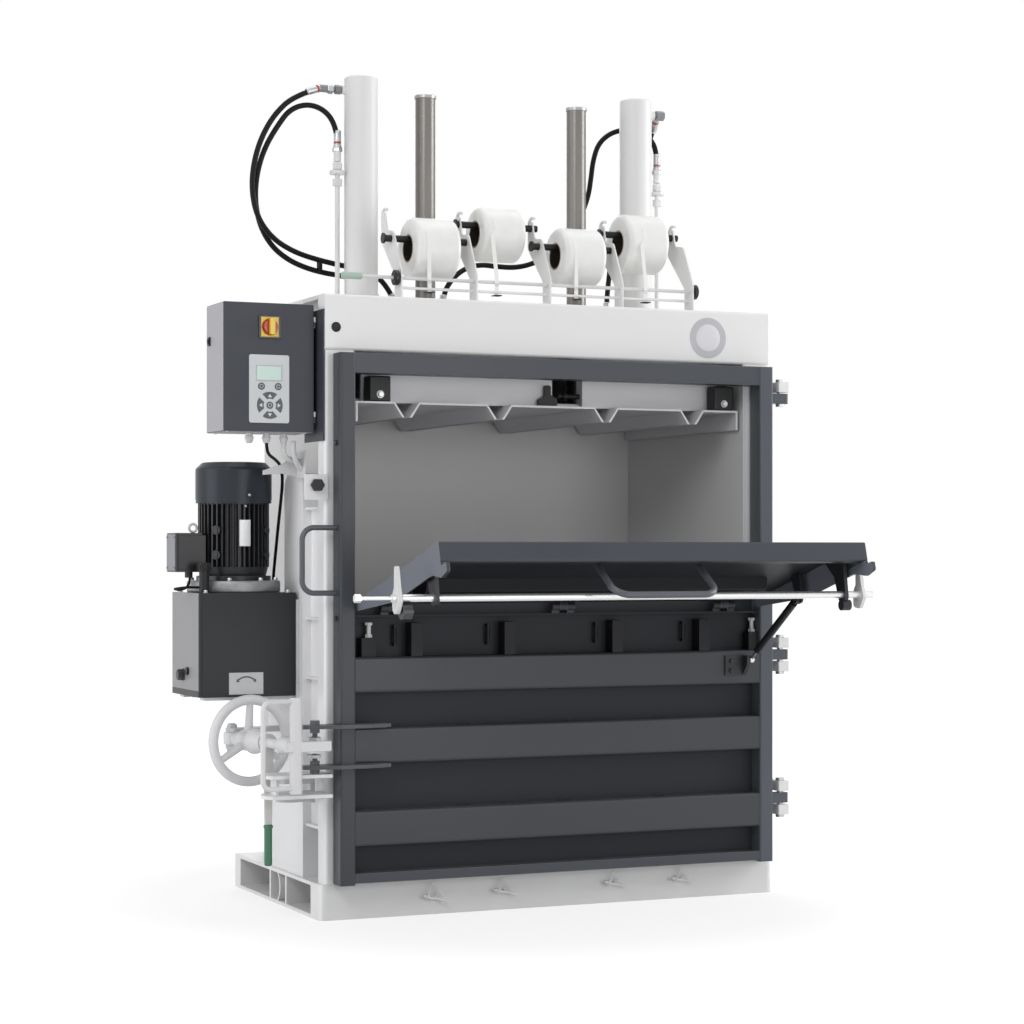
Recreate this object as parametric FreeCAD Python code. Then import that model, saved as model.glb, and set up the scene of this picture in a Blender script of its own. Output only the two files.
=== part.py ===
"""Vertical recycling baler: welded press frame, ram with platen, front door with loading flap, power pack,
control cabinet, door lock, strap spools and hoses.

Millimetres. X runs across the machine, Y into it, Z up. Everything is drawn from the front plane of the
frame (Y = 0) and stored about the ram axis on the floor.
"""
import FreeCAD, Part
import math
import os

V = FreeCAD.Vector
X_AXIS = V(1, 0, 0)
Y_AXIS = V(0, 1, 0)
Z_AXIS = V(0, 0, 1)

# ---- driving dimensions -------------------------------------------------------------------------------
# general fits
RUNNING_FIT = 0.08          # radial clearance of a shaft in its bore
SIDE_GAP = 0.3              # free gap between pieces that move past each other
SEAT_GAP = 0.3              # gap of a curved piece beside its carrier

# press frame
FRAME_HALF_WIDTH = 700.0
BASE_OVERHANG = 15.0
BASE_HALF_WIDTH = FRAME_HALF_WIDTH + BASE_OVERHANG
BASE_HEIGHT = 100.0
BASE_PLATE = 10.0
BASE_CORNER = 22.0
FRAME_DEPTH = 770.0
POST_WIDTH = 86.0           # from the outside of the frame to the inside of the chamber
CHAMBER_HALF_WIDTH = FRAME_HALF_WIDTH - POST_WIDTH
WALL = 8.0
POST_DEPTH = 57.0
POST_WALL = 6.0
POST_CORNER = 10.0
HEADER_BOTTOM = 1572.0
HEADER_HEIGHT = 156.0
HEADER_PLATE = 6.0
HEADER_RETURN = 60.0
HEADER_BEND = 9.0
DECK_THICKNESS = 12.0
TUNNEL_FRONT = 76.0
TUNNEL_WIDTH = 209.0
TUNNEL_REAR_MARGIN = 52.0
TUNNEL_REAR_WIDTH = 279.0
TUNNEL_REAR_START = FRAME_DEPTH - TUNNEL_REAR_MARGIN - TUNNEL_REAR_WIDTH
BAY_WALL = 12.0
MID_BAY_START = TUNNEL_FRONT + TUNNEL_WIDTH + BAY_WALL
MID_BAY_END = TUNNEL_REAR_START - BAY_WALL
WEB_BULGE = 22.0
COLUMN_FRONT = 171.0
COLUMN_REAR = 482.0
COLUMN_UPPER_REAR = 333.0
COLUMN_STEP_HEIGHT = 830.0
COLUMN_TOP = 1238.0
COLUMN_OVERHANG = 5.0
COLUMN_REACH = POST_WIDTH - WALL + COLUMN_OVERHANG
COLUMN_PLATE = 6.0
COLUMN_ROUND = 45.0
GUSSET_HEIGHTS = (245.0, 450.0, 658.0, 825.0, 1133.0)
GUSSET_PLATE = 8.0
INFILL_SET_BACK = 20.0
STOP_PLATE_REACH = 59.0     # beside the left post
STOP_PLATE_LAP = 7.0
STOP_PLATE_LOW = 1158.0
STOP_PLATE_HIGH = 1229.0
STOP_BOLT_REACH = 26.0
STOP_BOLT_Z = 1199.0
STOP_BOLT_ACROSS = 32.0

# ram
CYLINDER_INSET = 249.0
CYLINDER_X = FRAME_HALF_WIDTH - CYLINDER_INSET
BARREL_RADIUS = 50.0
BARREL_BORE = 40.0
BARREL_HEIGHT = 680.0
BARREL_FLANGE = 150.0
BARREL_FLANGE_HEIGHT = 20.0
BARREL_FOOT = 30.0
ROD_RADIUS = 25.0
GUIDE_X = 248.0
GUIDE_RADIUS = 30.0
GUIDE_CAP_RADIUS = 33.0
GUIDE_CAP_HEIGHT = 10.0
GUIDE_TOP = 2371.0
BUSH_RADIUS = 44.0
BUSH_HEIGHT = 20.0
PLATEN_SIDE_GAP = 10.0
PLATEN_HALF_WIDTH = CHAMBER_HALF_WIDTH - PLATEN_SIDE_GAP
PLATEN_FRONT = 15.0
PLATEN_REAR_GAP = 12.0
PLATEN_REAR = FRAME_DEPTH - WALL - PLATEN_REAR_GAP
PLATEN_SET_BACK = 80.0
PLATEN_PLATE = 6.0
PLATEN_TOP_PLATE = 12.0
PLATEN_UNDERSIDE = 1429.0
UPSTAND_FRONT = 72.0
UPSTAND_HEIGHT = 150.0
UPSTAND_INSET = 38.0
UPSTAND_END = PLATEN_HALF_WIDTH - UPSTAND_INSET
UPSTAND_GAP = (22.0, 119.0)
UPSTAND_FLANGE = 34.0
GUIDE_BLOCK_WIDTH = 64.0
GUIDE_BLOCK_INSETS = (42.0, 12.0)
GUIDE_BLOCK_DEPTH = 50.0
GUIDE_BLOCK_HEIGHT = 72.0
CHANNEL_XS = (-451.0, -169.0, 169.0, 451.0)
CHANNEL_MOUTH = 74.0
CHANNEL_SLOT = 15.0
CHANNEL_DEPTH = 43.0
PLATEN_FLANGE = 57.0
ROD_TOP_GAP = 15.0
PISTON_HEIGHT = 20.0

# door
DOOR_INSET = 22.0
DOOR_HALF_WIDTH = FRAME_HALF_WIDTH - DOOR_INSET
DOOR_FRONT = -68.0
DOOR_GAP = 3.0
DOOR_POST_WIDTH = 44.0
DOOR_BOTTOM = 102.0
DOOR_TOP = 1562.0
DOOR_WALL = 4.0
TOP_RAIL_HEIGHT = 55.0
BOTTOM_RAIL_HEIGHT = 27.0
BOTTOM_RAIL_LIFT = 5.0
RAIL_SET_BACK = 3.0
RIB_HEIGHT = 99.0
RIB_BOTTOMS = (207.0, 434.0, 628.0)
RIB_PLATE = 5.0
RIB_BEND = 8.0
SKIN_PLATE = 6.0
SKIN_BACK = -10.0
SKIN_TOP = 842.0
SKIN_LIP = 38.0             # the sheet runs this far up behind the hinges of the flap
NOTCH_WIDTH = 44.0
NOTCH_DEPTH = 7.0

# door hinges
HINGE_OUT = 16.0
HINGE_X = FRAME_HALF_WIDTH + HINGE_OUT
HINGE_Y = -41.0
HINGE_PIN_RADIUS = 9.0
HINGE_PIN_HEAD = 13.0
HINGE_HEAD_HEIGHT = 8.0
HINGE_BLOCK = 36.0
HINGE_BACK = 40.0
HINGE_LEVELS = ((1487.0, 1), (711.5, 2), (287.0, 2))
HINGE_KNUCKLE = 30.0

# loading flap, drawn open
FLAP_AXIS_Y = -45.0
FLAP_AXIS_Z = 862.0
FLAP_TILT = 15.6
FLAP_SIDE_GAP = 6.0
FLAP_HALF_WIDTH = DOOR_HALF_WIDTH - DOOR_POST_WIDTH - FLAP_SIDE_GAP
FLAP_LENGTH = 632.0
FLAP_START = 14.0
FLAP_PANEL_RISE = 11.5
FLAP_SHEET = 4.0
FLAP_LIP = 54.0
FLAP_FLANGE_END = 24.0
NOSE_REACH = 34.0
NOSE_PLATE = 10.0
HAT_START = 162.0
HAT_WIDTH = 112.0
HAT_DEPTH = 36.0
HAT_END_GAP = 108.0
FLAP_HINGE_RADIUS = 9.0
FLAP_HINGE_LENGTH = 70.0
FLAP_HINGE_XS = (-520.0, 0.0, 520.0)
FLAP_HANDLE_HALF = 150.0
FLAP_HANDLE_RADIUS = 9.0
FLAP_HANDLE_BEND = 42.0
FLAP_HANDLE_FOOT = FLAP_LENGTH - 117.0
FLAP_HANDLE_OUT = 142.0
FLAP_HANDLE_ALONG = 125.0

# latch bar on the flap
LATCH_SET_BACK = 103.0
LATCH_ALONG = FLAP_LENGTH - LATCH_SET_BACK
LATCH_OUT = 110.0
LATCH_BAR_RADIUS = 10.0
LATCH_LEFT_END = -(DOOR_HALF_WIDTH + 50.0)
LATCH_RIGHT_END = DOOR_HALF_WIDTH + 15.0
LATCH_PLATE = 10.0
LATCH_LEFT_HOOK = LATCH_LEFT_END + 17.0
LATCH_RIGHT_HOOK = LATCH_RIGHT_END - 39.0
LATCH_CARRIER_INSET = 13.0
LATCH_TIP_LENGTH = 100.0
LATCH_TIP_RADIUS = 5.0

# gas strut
STRUT_INSET = 38.0
STRUT_X = FLAP_HALF_WIDTH - STRUT_INSET
STRUT_LOW_Y = -88.0
STRUT_LOW_Z = 700.0
STRUT_ALONG = 300.0
STRUT_OUT = 64.0
STRUT_BARREL_RADIUS = 11.0
STRUT_ROD_RADIUS = 5.0
STRUT_EYE_RADIUS = 11.0
STRUT_EYE_WIDTH = 12.0
STRUT_PIN_RADIUS = 5.0
STRUT_BARREL_LENGTH = 252.0

# claws and door furniture
CLAW_WIDTH = 33.0
CLAW_HEIGHT = 92.0
CLAW_DEPTH = 44.0
HANDLE_RADIUS = 7.5
HANDLE_REACH = 100.0
HANDLE_LOW = 903.0
HANDLE_HIGH = 1082.0
HANDLE_BEND = 34.0
HANDLE_Y = -36.0

# door lock
LOCK_Z = 490.0
LOCK_PIVOT_OUT = 181.0
LOCK_PIVOT_X = -(FRAME_HALF_WIDTH + LOCK_PIVOT_OUT)
LOCK_PIVOT_Y = 273.0
LOCK_ANGLE = 10.0
LOCK_TUBE_FROM_PIVOT = 374.0
LOCK_TUBE_RADIUS = 17.0
LOCK_TUBE_LOW = 363.0
LOCK_TUBE_HIGH = 622.0
LOCK_LOOP_REACH = 100.0
LOCK_LOOP_RADIUS = 7.0
LOCK_PIN_RADIUS = 10.0
LOCK_KNUCKLE_HALF = 17.0
FORK_PLATE = 12.0
LOCK_REST_LEVELS = (345.0, 400.0)
LOCK_REST_REACH = 190.0
LOCK_REST_ROUND = 18.0
LOCK_COLLAR_START = 34.0
CLAMP_BAR = 27.0
CLAMP_BAR_REACH = 97.0
SPINDLE_RADIUS = 14.0
WHEEL_FROM_PIVOT = 110.0
WHEEL_RADIUS = 114.0
WHEEL_RIM = 14.0
WHEEL_HUB_RADIUS = 30.0
WHEEL_HUB_LENGTH = 60.0
WHEEL_SPOKES = 3
LEVER_FROM_PIVOT = 216.0
LEVER_LENGTH = 338.0
LEVER_WIDTH = 24.0
LEVER_PLATE = 8.0
GRIP_LENGTH = 112.0
LUG_REACH = 83.0            # outside the frame
LUG_LAP = 147.0             # along the face of the door
LUG_TIP = -(FRAME_HALF_WIDTH + LUG_REACH)
LUG_ROOT = -(DOOR_HALF_WIDTH - LUG_LAP)
LUG_BOLT_X = LUG_TIP + 38.0
LUG_PLATE = 10.0
LUG_LEVELS = (424.0, 534.0)

# power pack
TANK_OUT = 12.0
TANK_RIGHT = -(FRAME_HALF_WIDTH + TANK_OUT)
TANK_WIDTH = 286.0
TANK_FRONT = 200.0
TANK_DEPTH = 280.0
TANK_BOTTOM = 610.0
TANK_HEIGHT = 291.0
TANK_BEND = 12.0
MOTOR_PLATE_RADIUS = 131.0
MOTOR_PLATE_HEIGHT = 33.0
MOTOR_FLANGE_RADIUS = 106.0
MOTOR_FLANGE_HEIGHT = 39.0
MOTOR_CORE_RADIUS = 86.0
MOTOR_FIN_RADIUS = 101.0
MOTOR_BODY_HEIGHT = 191.0
MOTOR_FINS = 40
COWL_RADIUS = 108.5
COWL_HEIGHT = 106.0
COWL_SHEET = 3.0
COWL_CHAMFER = 18.0
FAN_RADIUS = 88.0
FAN_BLADES = 8
SHAFT_RADIUS = 12.0
TERMINAL_BOX = (82.0, 100.0, 110.0)

# control cabinet
CABINET_OUT = 16.0
CABINET_RIGHT = -(FRAME_HALF_WIDTH + CABINET_OUT)
CABINET_WIDTH = 260.0
CABINET_FRONT = 47.0
CABINET_DOOR_DEPTH = 22.0
CABINET_DEPTH = 154.0
CABINET_BOTTOM = 1345.0
CABINET_HEIGHT = 354.0
CABINET_SHEET = 2.0
CABINET_BEND = 4.0
CABINET_HINGE_OUT = 4.0
KNOB_X = CABINET_RIGHT - CABINET_WIDTH / 2 + 2
KNOB_Z = 1633.0
KNOB_RADIUS = 20.0
SWITCH_PLATE = 62.0
KEYPAD_X = KNOB_X - 1.5
CARRIER_PLATE = 4.0
CARRIER_LOW = CABINET_BOTTOM - 23.0
CARRIER_HIGH = CABINET_BOTTOM + CABINET_HEIGHT - 14.0
CARRIER_DEPTH = 160.0
KEYPAD_Z = 1463.0
KEYPAD_SIZE = (115.0, 187.0)

# strap store
RACK_XS = (-460.0, -230.0, 0.0, 232.0, 464.0)
RACK_PLATE = 4.0
RACK_HEIGHT = 257.0
RACK_REACH = 140.0
RACK_FOOT_FRONT = 18.0
RACK_FOOT_REAR = 34.0
RACK_FOOT_HEIGHT = 70.0
SPOOL_SPECS = ((-345.0, 112.0, 1878.0, 88.0), (-115.0, 168.0, 1937.0, 79.0),
               (116.0, 112.0, 1878.0, 83.0), (348.0, 168.0, 1933.0, 87.0))
SPOOL_WIDTH = 132.0
SPOOL_BORE = 36.0
SPOOL_PIN_RADIUS = 10.0
STRAP_ROD_Y = 50.0
STRAP_ROD_Z = 1786.0
STRAP_ROD_RADIUS = 5.0
STRAP_ROD_END = 490.0
STRAP_ROD_LEFT = -629.0
STRAP_DISC_RADIUS = 21.0

# hoses and cables
HOSE_RADIUS = 8.0
PIPE_RADIUS = 7.0
PIPE_GAP = 24.0
CABLE_RADIUS = 4.5
BOX_CABLE_RADIUS = 3.5
FERRULE_RADIUS = 12.0
HOSE_END_HEIGHT = 478.0     # of the hose ends beside the barrels, over the deck
NUT_DROPS = (120.0, 72.0)
DISC_DROP = 86.0
PORT_DROP = 40.0            # the upper ports lie this far under the barrel tops

DECK_TOP = HEADER_BOTTOM + HEADER_HEIGHT
RAM_Y = FRAME_DEPTH / 2
TANK_LEFT = TANK_RIGHT - TANK_WIDTH
TANK_TOP = TANK_BOTTOM + TANK_HEIGHT
MOTOR_X = TANK_RIGHT - TANK_WIDTH / 2
MOTOR_Y = TANK_FRONT + TANK_DEPTH / 2
parts = {}


# ---- shape helpers ------------------------------------------------------------------------------------
def box(x0, x1, y0, y1, z0, z1):
    """Block between two corners."""
    return Part.makeBox(x1 - x0, y1 - y0, z1 - z0, V(x0, y0, z0))


def cylinder(radius, start, end):
    """Round bar between two points."""
    return Part.makeCylinder(radius, (end - start).Length, start, end - start)


def ring(outer, inner, start, end):
    """Tube between two points."""
    return cylinder(outer, start, end).cut(cylinder(inner, start, end))


def union(shapes):
    """One shape from pieces that are welded or moulded together."""
    result = shapes[0]
    for extra in shapes[1:]:
        result = result.fuse(extra)
    return result.removeSplitter()


def group(shapes):
    """Separate solids that share a node."""
    return Part.makeCompound(shapes)


def corner_cut(before, corner, after, radius):
    """Tangent points and middle of the arc that rounds one corner of a path."""
    back = (before - corner).normalize()
    ahead = (after - corner).normalize()
    half_angle = back.getAngle(ahead) / 2
    reach = radius / math.tan(half_angle)
    middle_direction = (back + ahead).normalize()
    centre = corner + middle_direction * (radius / math.sin(half_angle))
    return corner + back * reach, centre - middle_direction * radius, corner + ahead * reach


def rounded_wire(points, radii, closed):
    """Straight runs joined by tangent arcs; a radius of zero leaves a sharp corner."""
    count = len(points)
    edges = []
    position = None
    first = None
    for index, point in enumerate(points):
        at_end = not closed and index in (0, count - 1)
        radius = 0 if at_end else radii[index]
        if radius > 0:
            start, middle, end = corner_cut(points[index - 1], point, points[(index + 1) % count], radius)
        else:
            start = end = point
        if position is not None and (start - position).Length > 1e-6:
            edges.append(Part.LineSegment(position, start).toShape())
        if radius > 0:
            edges.append(Part.Arc(start, middle, end).toShape())
        if first is None:
            first = start
        position = end
    if closed and (first - position).Length > 1e-6:
        edges.append(Part.LineSegment(position, first).toShape())
    return Part.Wire(edges)


def prism(plane, at, points, thickness, radius=0.0, radii=None):
    """Plate with a rounded outline in XY, XZ or YZ at one level, thickened along the plane's axis."""
    lift = {"XY": lambda u, v: V(u, v, at), "XZ": lambda u, v: V(u, at, v), "YZ": lambda u,
            v: V(at, u, v)}[plane]
    direction = {"XY": Z_AXIS, "XZ": Y_AXIS, "YZ": X_AXIS}[plane]
    corners = [lift(u, v) for u, v in points]
    wire = rounded_wire(corners, radii or [radius] * len(corners), True)
    return Part.Face(wire).extrude(direction * thickness)


def rod(points, bends, radius):
    """Round bar bent along straight runs and tangent arcs."""
    radii = bends if isinstance(bends, list) else [bends] * len(points)
    path = rounded_wire(points, radii, False)
    start_direction = points[1] - points[0]
    profile = Part.Wire([Part.makeCircle(radius, points[0], start_direction)])
    return path.makePipeShell([profile], True, False), path.Length


def hose(name, points, radius):
    """Free hose or cable: its arcs are as large as their two runs allow."""
    radii = [0.0] * len(points)
    for index in range(1, len(points) - 1):
        before = points[index] - points[index - 1]
        after = points[index + 1] - points[index]
        turn = before.getAngle(after)
        radii[index] = 0.45 * min(before.Length, after.Length) / math.tan(turn / 2)
    solid, length = rod(points, radii, radius)
    section = math.pi * radius ** 2
    print(name, "length", round(length), "volume ratio", round(solid.Volume / (section * length), 4),
          "radii", [round(value) for value in radii[1:-1]])
    return solid


def mirrored(shape):
    """The same piece on the other side of the machine."""
    return shape.mirror(V(0, 0, 0), X_AXIS)


def hexagon_bolt(centre, direction, across=17.0, head=8.0, shank=0.0, shank_radius=5.0):
    """Hexagon head that stands on a face, with its visible shank beyond it."""
    direction = V(direction).normalize()
    corner_radius = across / math.sqrt(3)
    points = []
    for step in range(6):
        angle = math.radians(60 * step)
        points.append(V(corner_radius * math.cos(angle), corner_radius * math.sin(angle), 0))
    solid = Part.Face(Part.makePolygon(points + [points[0]])).extrude(Z_AXIS * head)
    if shank > 0:
        solid = solid.fuse(cylinder(shank_radius, V(0, 0, head), V(0, 0, head + shank)))
    solid.Placement = FreeCAD.Placement(V(centre), FreeCAD.Rotation(Z_AXIS, direction))
    return solid


# ---- press frame --------------------------------------------------------------------------------------
def build_base():
    """Folded base with two forklift tunnels through it and a curved web in its middle bay."""
    top = BASE_HEIGHT
    half = BASE_HALF_WIDTH
    base = box(-half, half, 0, FRAME_DEPTH, 0, top)
    front_edges = [edge for edge in base.Edges
                   if abs(edge.BoundBox.ZLength - top) < 0.01 and edge.BoundBox.YMax < 1]
    base = base.makeFillet(BASE_CORNER, front_edges)
    over = half + 1
    bays = ((TUNNEL_FRONT, TUNNEL_FRONT + TUNNEL_WIDTH), (MID_BAY_START, MID_BAY_END),
            (TUNNEL_REAR_START, TUNNEL_REAR_START + TUNNEL_REAR_WIDTH))
    for front, rear in bays:
        base = base.cut(box(-over, over, front, rear, BASE_PLATE, top - BASE_PLATE))
    inner = half - BASE_PLATE
    apron = box(-inner, inner, BASE_PLATE, TUNNEL_FRONT - BASE_PLATE, BASE_PLATE, top - BASE_PLATE)
    rear_start = TUNNEL_REAR_START + TUNNEL_REAR_WIDTH + BASE_PLATE
    rear = box(-inner, inner, rear_start, FRAME_DEPTH - BASE_PLATE, BASE_PLATE, top - BASE_PLATE)
    base = base.cut(apron).cut(rear)
    web_y = (MID_BAY_START + MID_BAY_END) / 2
    low, high = BASE_PLATE, top - BASE_PLATE
    web_edges = []
    for shift in (0.0, WALL):
        arc = Part.Arc(V(-half, web_y + shift, low), V(-half, web_y - WEB_BULGE + shift, (low + high) / 2),
                       V(-half, web_y + shift, high))
        web_edges.append(arc.toShape())
    web_edges.append(Part.makeLine(V(-half, web_y, low), V(-half, web_y + WALL, low)))
    web_edges.append(Part.makeLine(V(-half, web_y, high), V(-half, web_y + WALL, high)))
    web = Part.Face(Part.Wire(Part.__sortEdges__(web_edges))).extrude(X_AXIS * 2 * half)
    parts["base_frame"] = union([base, web])


def build_chamber():
    """Welded press chamber: two side walls, a back wall and a floor, open to the front."""
    outer = CHAMBER_HALF_WIDTH + WALL
    top = DECK_TOP - DECK_THICKNESS
    shell = box(-outer, outer, 0, FRAME_DEPTH, BASE_HEIGHT, top)
    hollow = box(-CHAMBER_HALF_WIDTH, CHAMBER_HALF_WIDTH, -1, FRAME_DEPTH - WALL, BASE_HEIGHT + WALL,
                 top + 1)
    header_room = box(-outer, outer, -1, HEADER_RETURN, HEADER_BOTTOM, DECK_TOP)
    parts["chamber_body"] = shell.cut(hollow).cut(header_room)


def build_front_posts():
    """Box posts beside the chamber mouth, with the cross plates and infill behind them."""
    wall_face = CHAMBER_HALF_WIDTH + WALL
    outline = ((-FRAME_HALF_WIDTH, 0), (-wall_face, 0), (-wall_face, POST_DEPTH),
               (-FRAME_HALF_WIDTH, POST_DEPTH))
    height = HEADER_BOTTOM - BASE_HEIGHT
    post = prism("XY", BASE_HEIGHT, outline, height, radii=[POST_CORNER, 0, 0, 3])
    hollow = box(-FRAME_HALF_WIDTH + POST_WALL, -wall_face - POST_WALL, POST_WALL, POST_DEPTH - POST_WALL,
                 BASE_HEIGHT + GUSSET_PLATE, HEADER_BOTTOM + 1)
    post = post.cut(hollow)
    recess = FRAME_HALF_WIDTH - INFILL_SET_BACK
    pieces = [post]
    for level in GUSSET_HEIGHTS:
        pieces.append(box(-FRAME_HALF_WIDTH + 4, -wall_face, POST_DEPTH, COLUMN_FRONT, level,
                          level + GUSSET_PLATE))
    infill = box(-recess, -recess + POST_WALL, POST_DEPTH, COLUMN_FRONT, GUSSET_HEIGHTS[0],
                 GUSSET_HEIGHTS[-1] + GUSSET_PLATE)
    pieces.append(infill)
    left = union(pieces)
    rests = []
    side = -FRAME_HALF_WIDTH
    tip = side - LOCK_REST_REACH
    for low in LOCK_REST_LEVELS:
        outline = ((side, -66), (tip + LOCK_REST_ROUND, -66), (tip, -20), (tip + LOCK_REST_ROUND, 40),
                   (side, 40))
        rests.append(prism("XY", low, outline, LUG_PLATE, radii=[0, 24, 24, 24, 0]))
    web = box(side - 150, side - 150 + WALL, -30, 20, LOCK_REST_LEVELS[0] + LUG_PLATE, LOCK_REST_LEVELS[1])
    stop_left, stop_right = side - STOP_PLATE_REACH, side + STOP_PLATE_LAP
    stop = prism("XZ", -WALL, ((stop_left, STOP_PLATE_LOW), (stop_right, STOP_PLATE_LOW),
                               (stop_right, STOP_PLATE_HIGH),
                               (stop_left, STOP_PLATE_HIGH)), WALL + POST_WALL - 1, radius=4)
    parts["front_posts"] = group([union([left, web, stop] + rests), mirrored(left)])
    parts["stop_bolt"] = hexagon_bolt(V(side - STOP_BOLT_REACH, -WALL, STOP_BOLT_Z), -Y_AXIS,
                                       across=STOP_BOLT_ACROSS, head=STOP_BOLT_ACROSS / 2)


def build_side_columns():
    """Folded side columns that stiffen the chamber walls, stepped narrower above the power pack."""
    outer = CHAMBER_HALF_WIDTH + WALL + COLUMN_REACH

    def profile(inset):
        return ((COLUMN_FRONT + inset, BASE_HEIGHT + inset), (COLUMN_REAR - inset, BASE_HEIGHT + inset),
                (COLUMN_REAR - inset, COLUMN_STEP_HEIGHT),
                (COLUMN_UPPER_REAR - inset, COLUMN_STEP_HEIGHT + 60),
                (COLUMN_UPPER_REAR - inset, COLUMN_TOP - inset), (COLUMN_FRONT + inset, COLUMN_TOP - inset))

    radii = [0, 0, 10, 10, COLUMN_ROUND, 6]
    inner_radii = [0, 0, 6, 6, COLUMN_ROUND - COLUMN_PLATE, 3]
    solid = prism("YZ", -outer, profile(0), COLUMN_REACH, radii=radii)
    hollow = prism("YZ", -outer + COLUMN_PLATE, profile(COLUMN_PLATE), COLUMN_REACH, radii=inner_radii)
    left = solid.cut(hollow)
    face = -outer
    ledges = [left]
    for front in (TANK_FRONT + 20, TANK_FRONT + TANK_DEPTH - 60):
        ledges.append(box(TANK_LEFT + 20, face, front, front + 40, TANK_BOTTOM - 10, TANK_BOTTOM))
    ledges.append(box(TANK_RIGHT, face, TANK_FRONT + 10, TANK_FRONT + TANK_DEPTH - 10, TANK_BOTTOM - 10,
                      TANK_TOP - 20))
    forks = []
    for low in (LOCK_Z - LOCK_KNUCKLE_HALF - SIDE_GAP - FORK_PLATE, LOCK_Z + LOCK_KNUCKLE_HALF + SIDE_GAP):
        outline = ((face, LOCK_PIVOT_Y + 45), (LOCK_PIVOT_X, LOCK_PIVOT_Y + 24),
                   (LOCK_PIVOT_X - 24, LOCK_PIVOT_Y),
                   (LOCK_PIVOT_X, LOCK_PIVOT_Y - 24), (face, LOCK_PIVOT_Y - 35))
        fork = prism("XY", low, outline, FORK_PLATE, radii=[0, 14, 14, 14, 0])
        pin = V(LOCK_PIVOT_X, LOCK_PIVOT_Y, low - 1)
        forks.append(fork.cut(cylinder(LOCK_PIN_RADIUS, pin, pin + Z_AXIS * (FORK_PLATE + 2))))
    parts["side_columns"] = group([union(ledges), mirrored(left)])
    parts["lock_fork"] = group(forks)


def build_header():
    """Folded header across the front, with end plates and welded rear lip."""
    top = DECK_TOP
    outline = ((0, HEADER_BOTTOM), (POST_DEPTH, HEADER_BOTTOM), (POST_DEPTH, HEADER_BOTTOM + HEADER_PLATE),
               (HEADER_PLATE, HEADER_BOTTOM + HEADER_PLATE), (HEADER_PLATE, top - HEADER_PLATE),
               (HEADER_RETURN, top - HEADER_PLATE), (HEADER_RETURN, top), (0, top))
    inner_bend = HEADER_BEND - HEADER_PLATE
    channel = prism("YZ", -FRAME_HALF_WIDTH, outline, 2 * FRAME_HALF_WIDTH,
                    radii=[HEADER_BEND, 0, 0, inner_bend, inner_bend, 0, 0, HEADER_BEND])
    ends = []
    for side in (-FRAME_HALF_WIDTH, FRAME_HALF_WIDTH - HEADER_PLATE):
        ends.append(box(side, side + HEADER_PLATE, HEADER_PLATE, POST_DEPTH, HEADER_BOTTOM + HEADER_PLATE,
                        top - HEADER_PLATE))
    parts["header_panel"] = union([channel] + ends)


def build_deck():
    """Top deck with the passages of the rods, and the bushes of the guide posts welded on it."""
    low = DECK_TOP - DECK_THICKNESS
    deck = box(-FRAME_HALF_WIDTH, FRAME_HALF_WIDTH, HEADER_RETURN, FRAME_DEPTH, low, DECK_TOP)
    for side in (-1, 1):
        bush = cylinder(BUSH_RADIUS, V(side * GUIDE_X, RAM_Y, DECK_TOP),
                        V(side * GUIDE_X, RAM_Y, DECK_TOP + BUSH_HEIGHT))
        deck = deck.fuse(bush)
    for side in (-1, 1):
        guide = V(side * GUIDE_X, RAM_Y, low - 1)
        deck = deck.cut(cylinder(GUIDE_RADIUS + RUNNING_FIT, guide, guide + Z_AXIS * 60))
        rod_hole = V(side * CYLINDER_X, RAM_Y, low - 1)
        deck = deck.cut(cylinder(ROD_RADIUS + 3, rod_hole, rod_hole + Z_AXIS * 60))
    parts["top_deck"] = deck.removeSplitter()


# ---- ram ----------------------------------------------------------------------------------------------
def build_cylinders():
    """Two hydraulic barrels that stand on the deck, each with a flange, a gland bore and a chamfered cap."""
    top = DECK_TOP + BARREL_HEIGHT
    barrels = []
    for side in (-1, 1):
        x = side * CYLINDER_X
        flange_half = BARREL_FLANGE / 2
        flange = prism("XY", DECK_TOP, ((x - flange_half, RAM_Y - flange_half),
                                        (x + flange_half, RAM_Y - flange_half),
                                        (x + flange_half, RAM_Y + flange_half),
                                        (x - flange_half, RAM_Y + flange_half)),
                       BARREL_FLANGE_HEIGHT, radius=14)
        barrel = cylinder(BARREL_RADIUS, V(x, RAM_Y, DECK_TOP), V(x, RAM_Y, top))
        rim = [edge for edge in barrel.Edges if edge.BoundBox.ZMin > top - 1 and edge.BoundBox.ZLength < 1]
        barrel = barrel.makeChamfer(4, rim)
        port_z = top - 40
        boss = cylinder(13, V(x + side * (BARREL_RADIUS - 6), RAM_Y, port_z),
                        V(x + side * (BARREL_RADIUS + 12), RAM_Y, port_z))
        solid = union([flange, barrel, boss])
        gland_top = DECK_TOP + BARREL_FOOT
        solid = solid.cut(cylinder(ROD_RADIUS + RUNNING_FIT, V(x, RAM_Y, DECK_TOP - 1),
                                   V(x, RAM_Y, gland_top)))
        barrels.append(solid.cut(cylinder(BARREL_BORE, V(x, RAM_Y, gland_top), V(x, RAM_Y, top - 12))))
    parts["press_cylinders"] = group(barrels)


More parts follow.
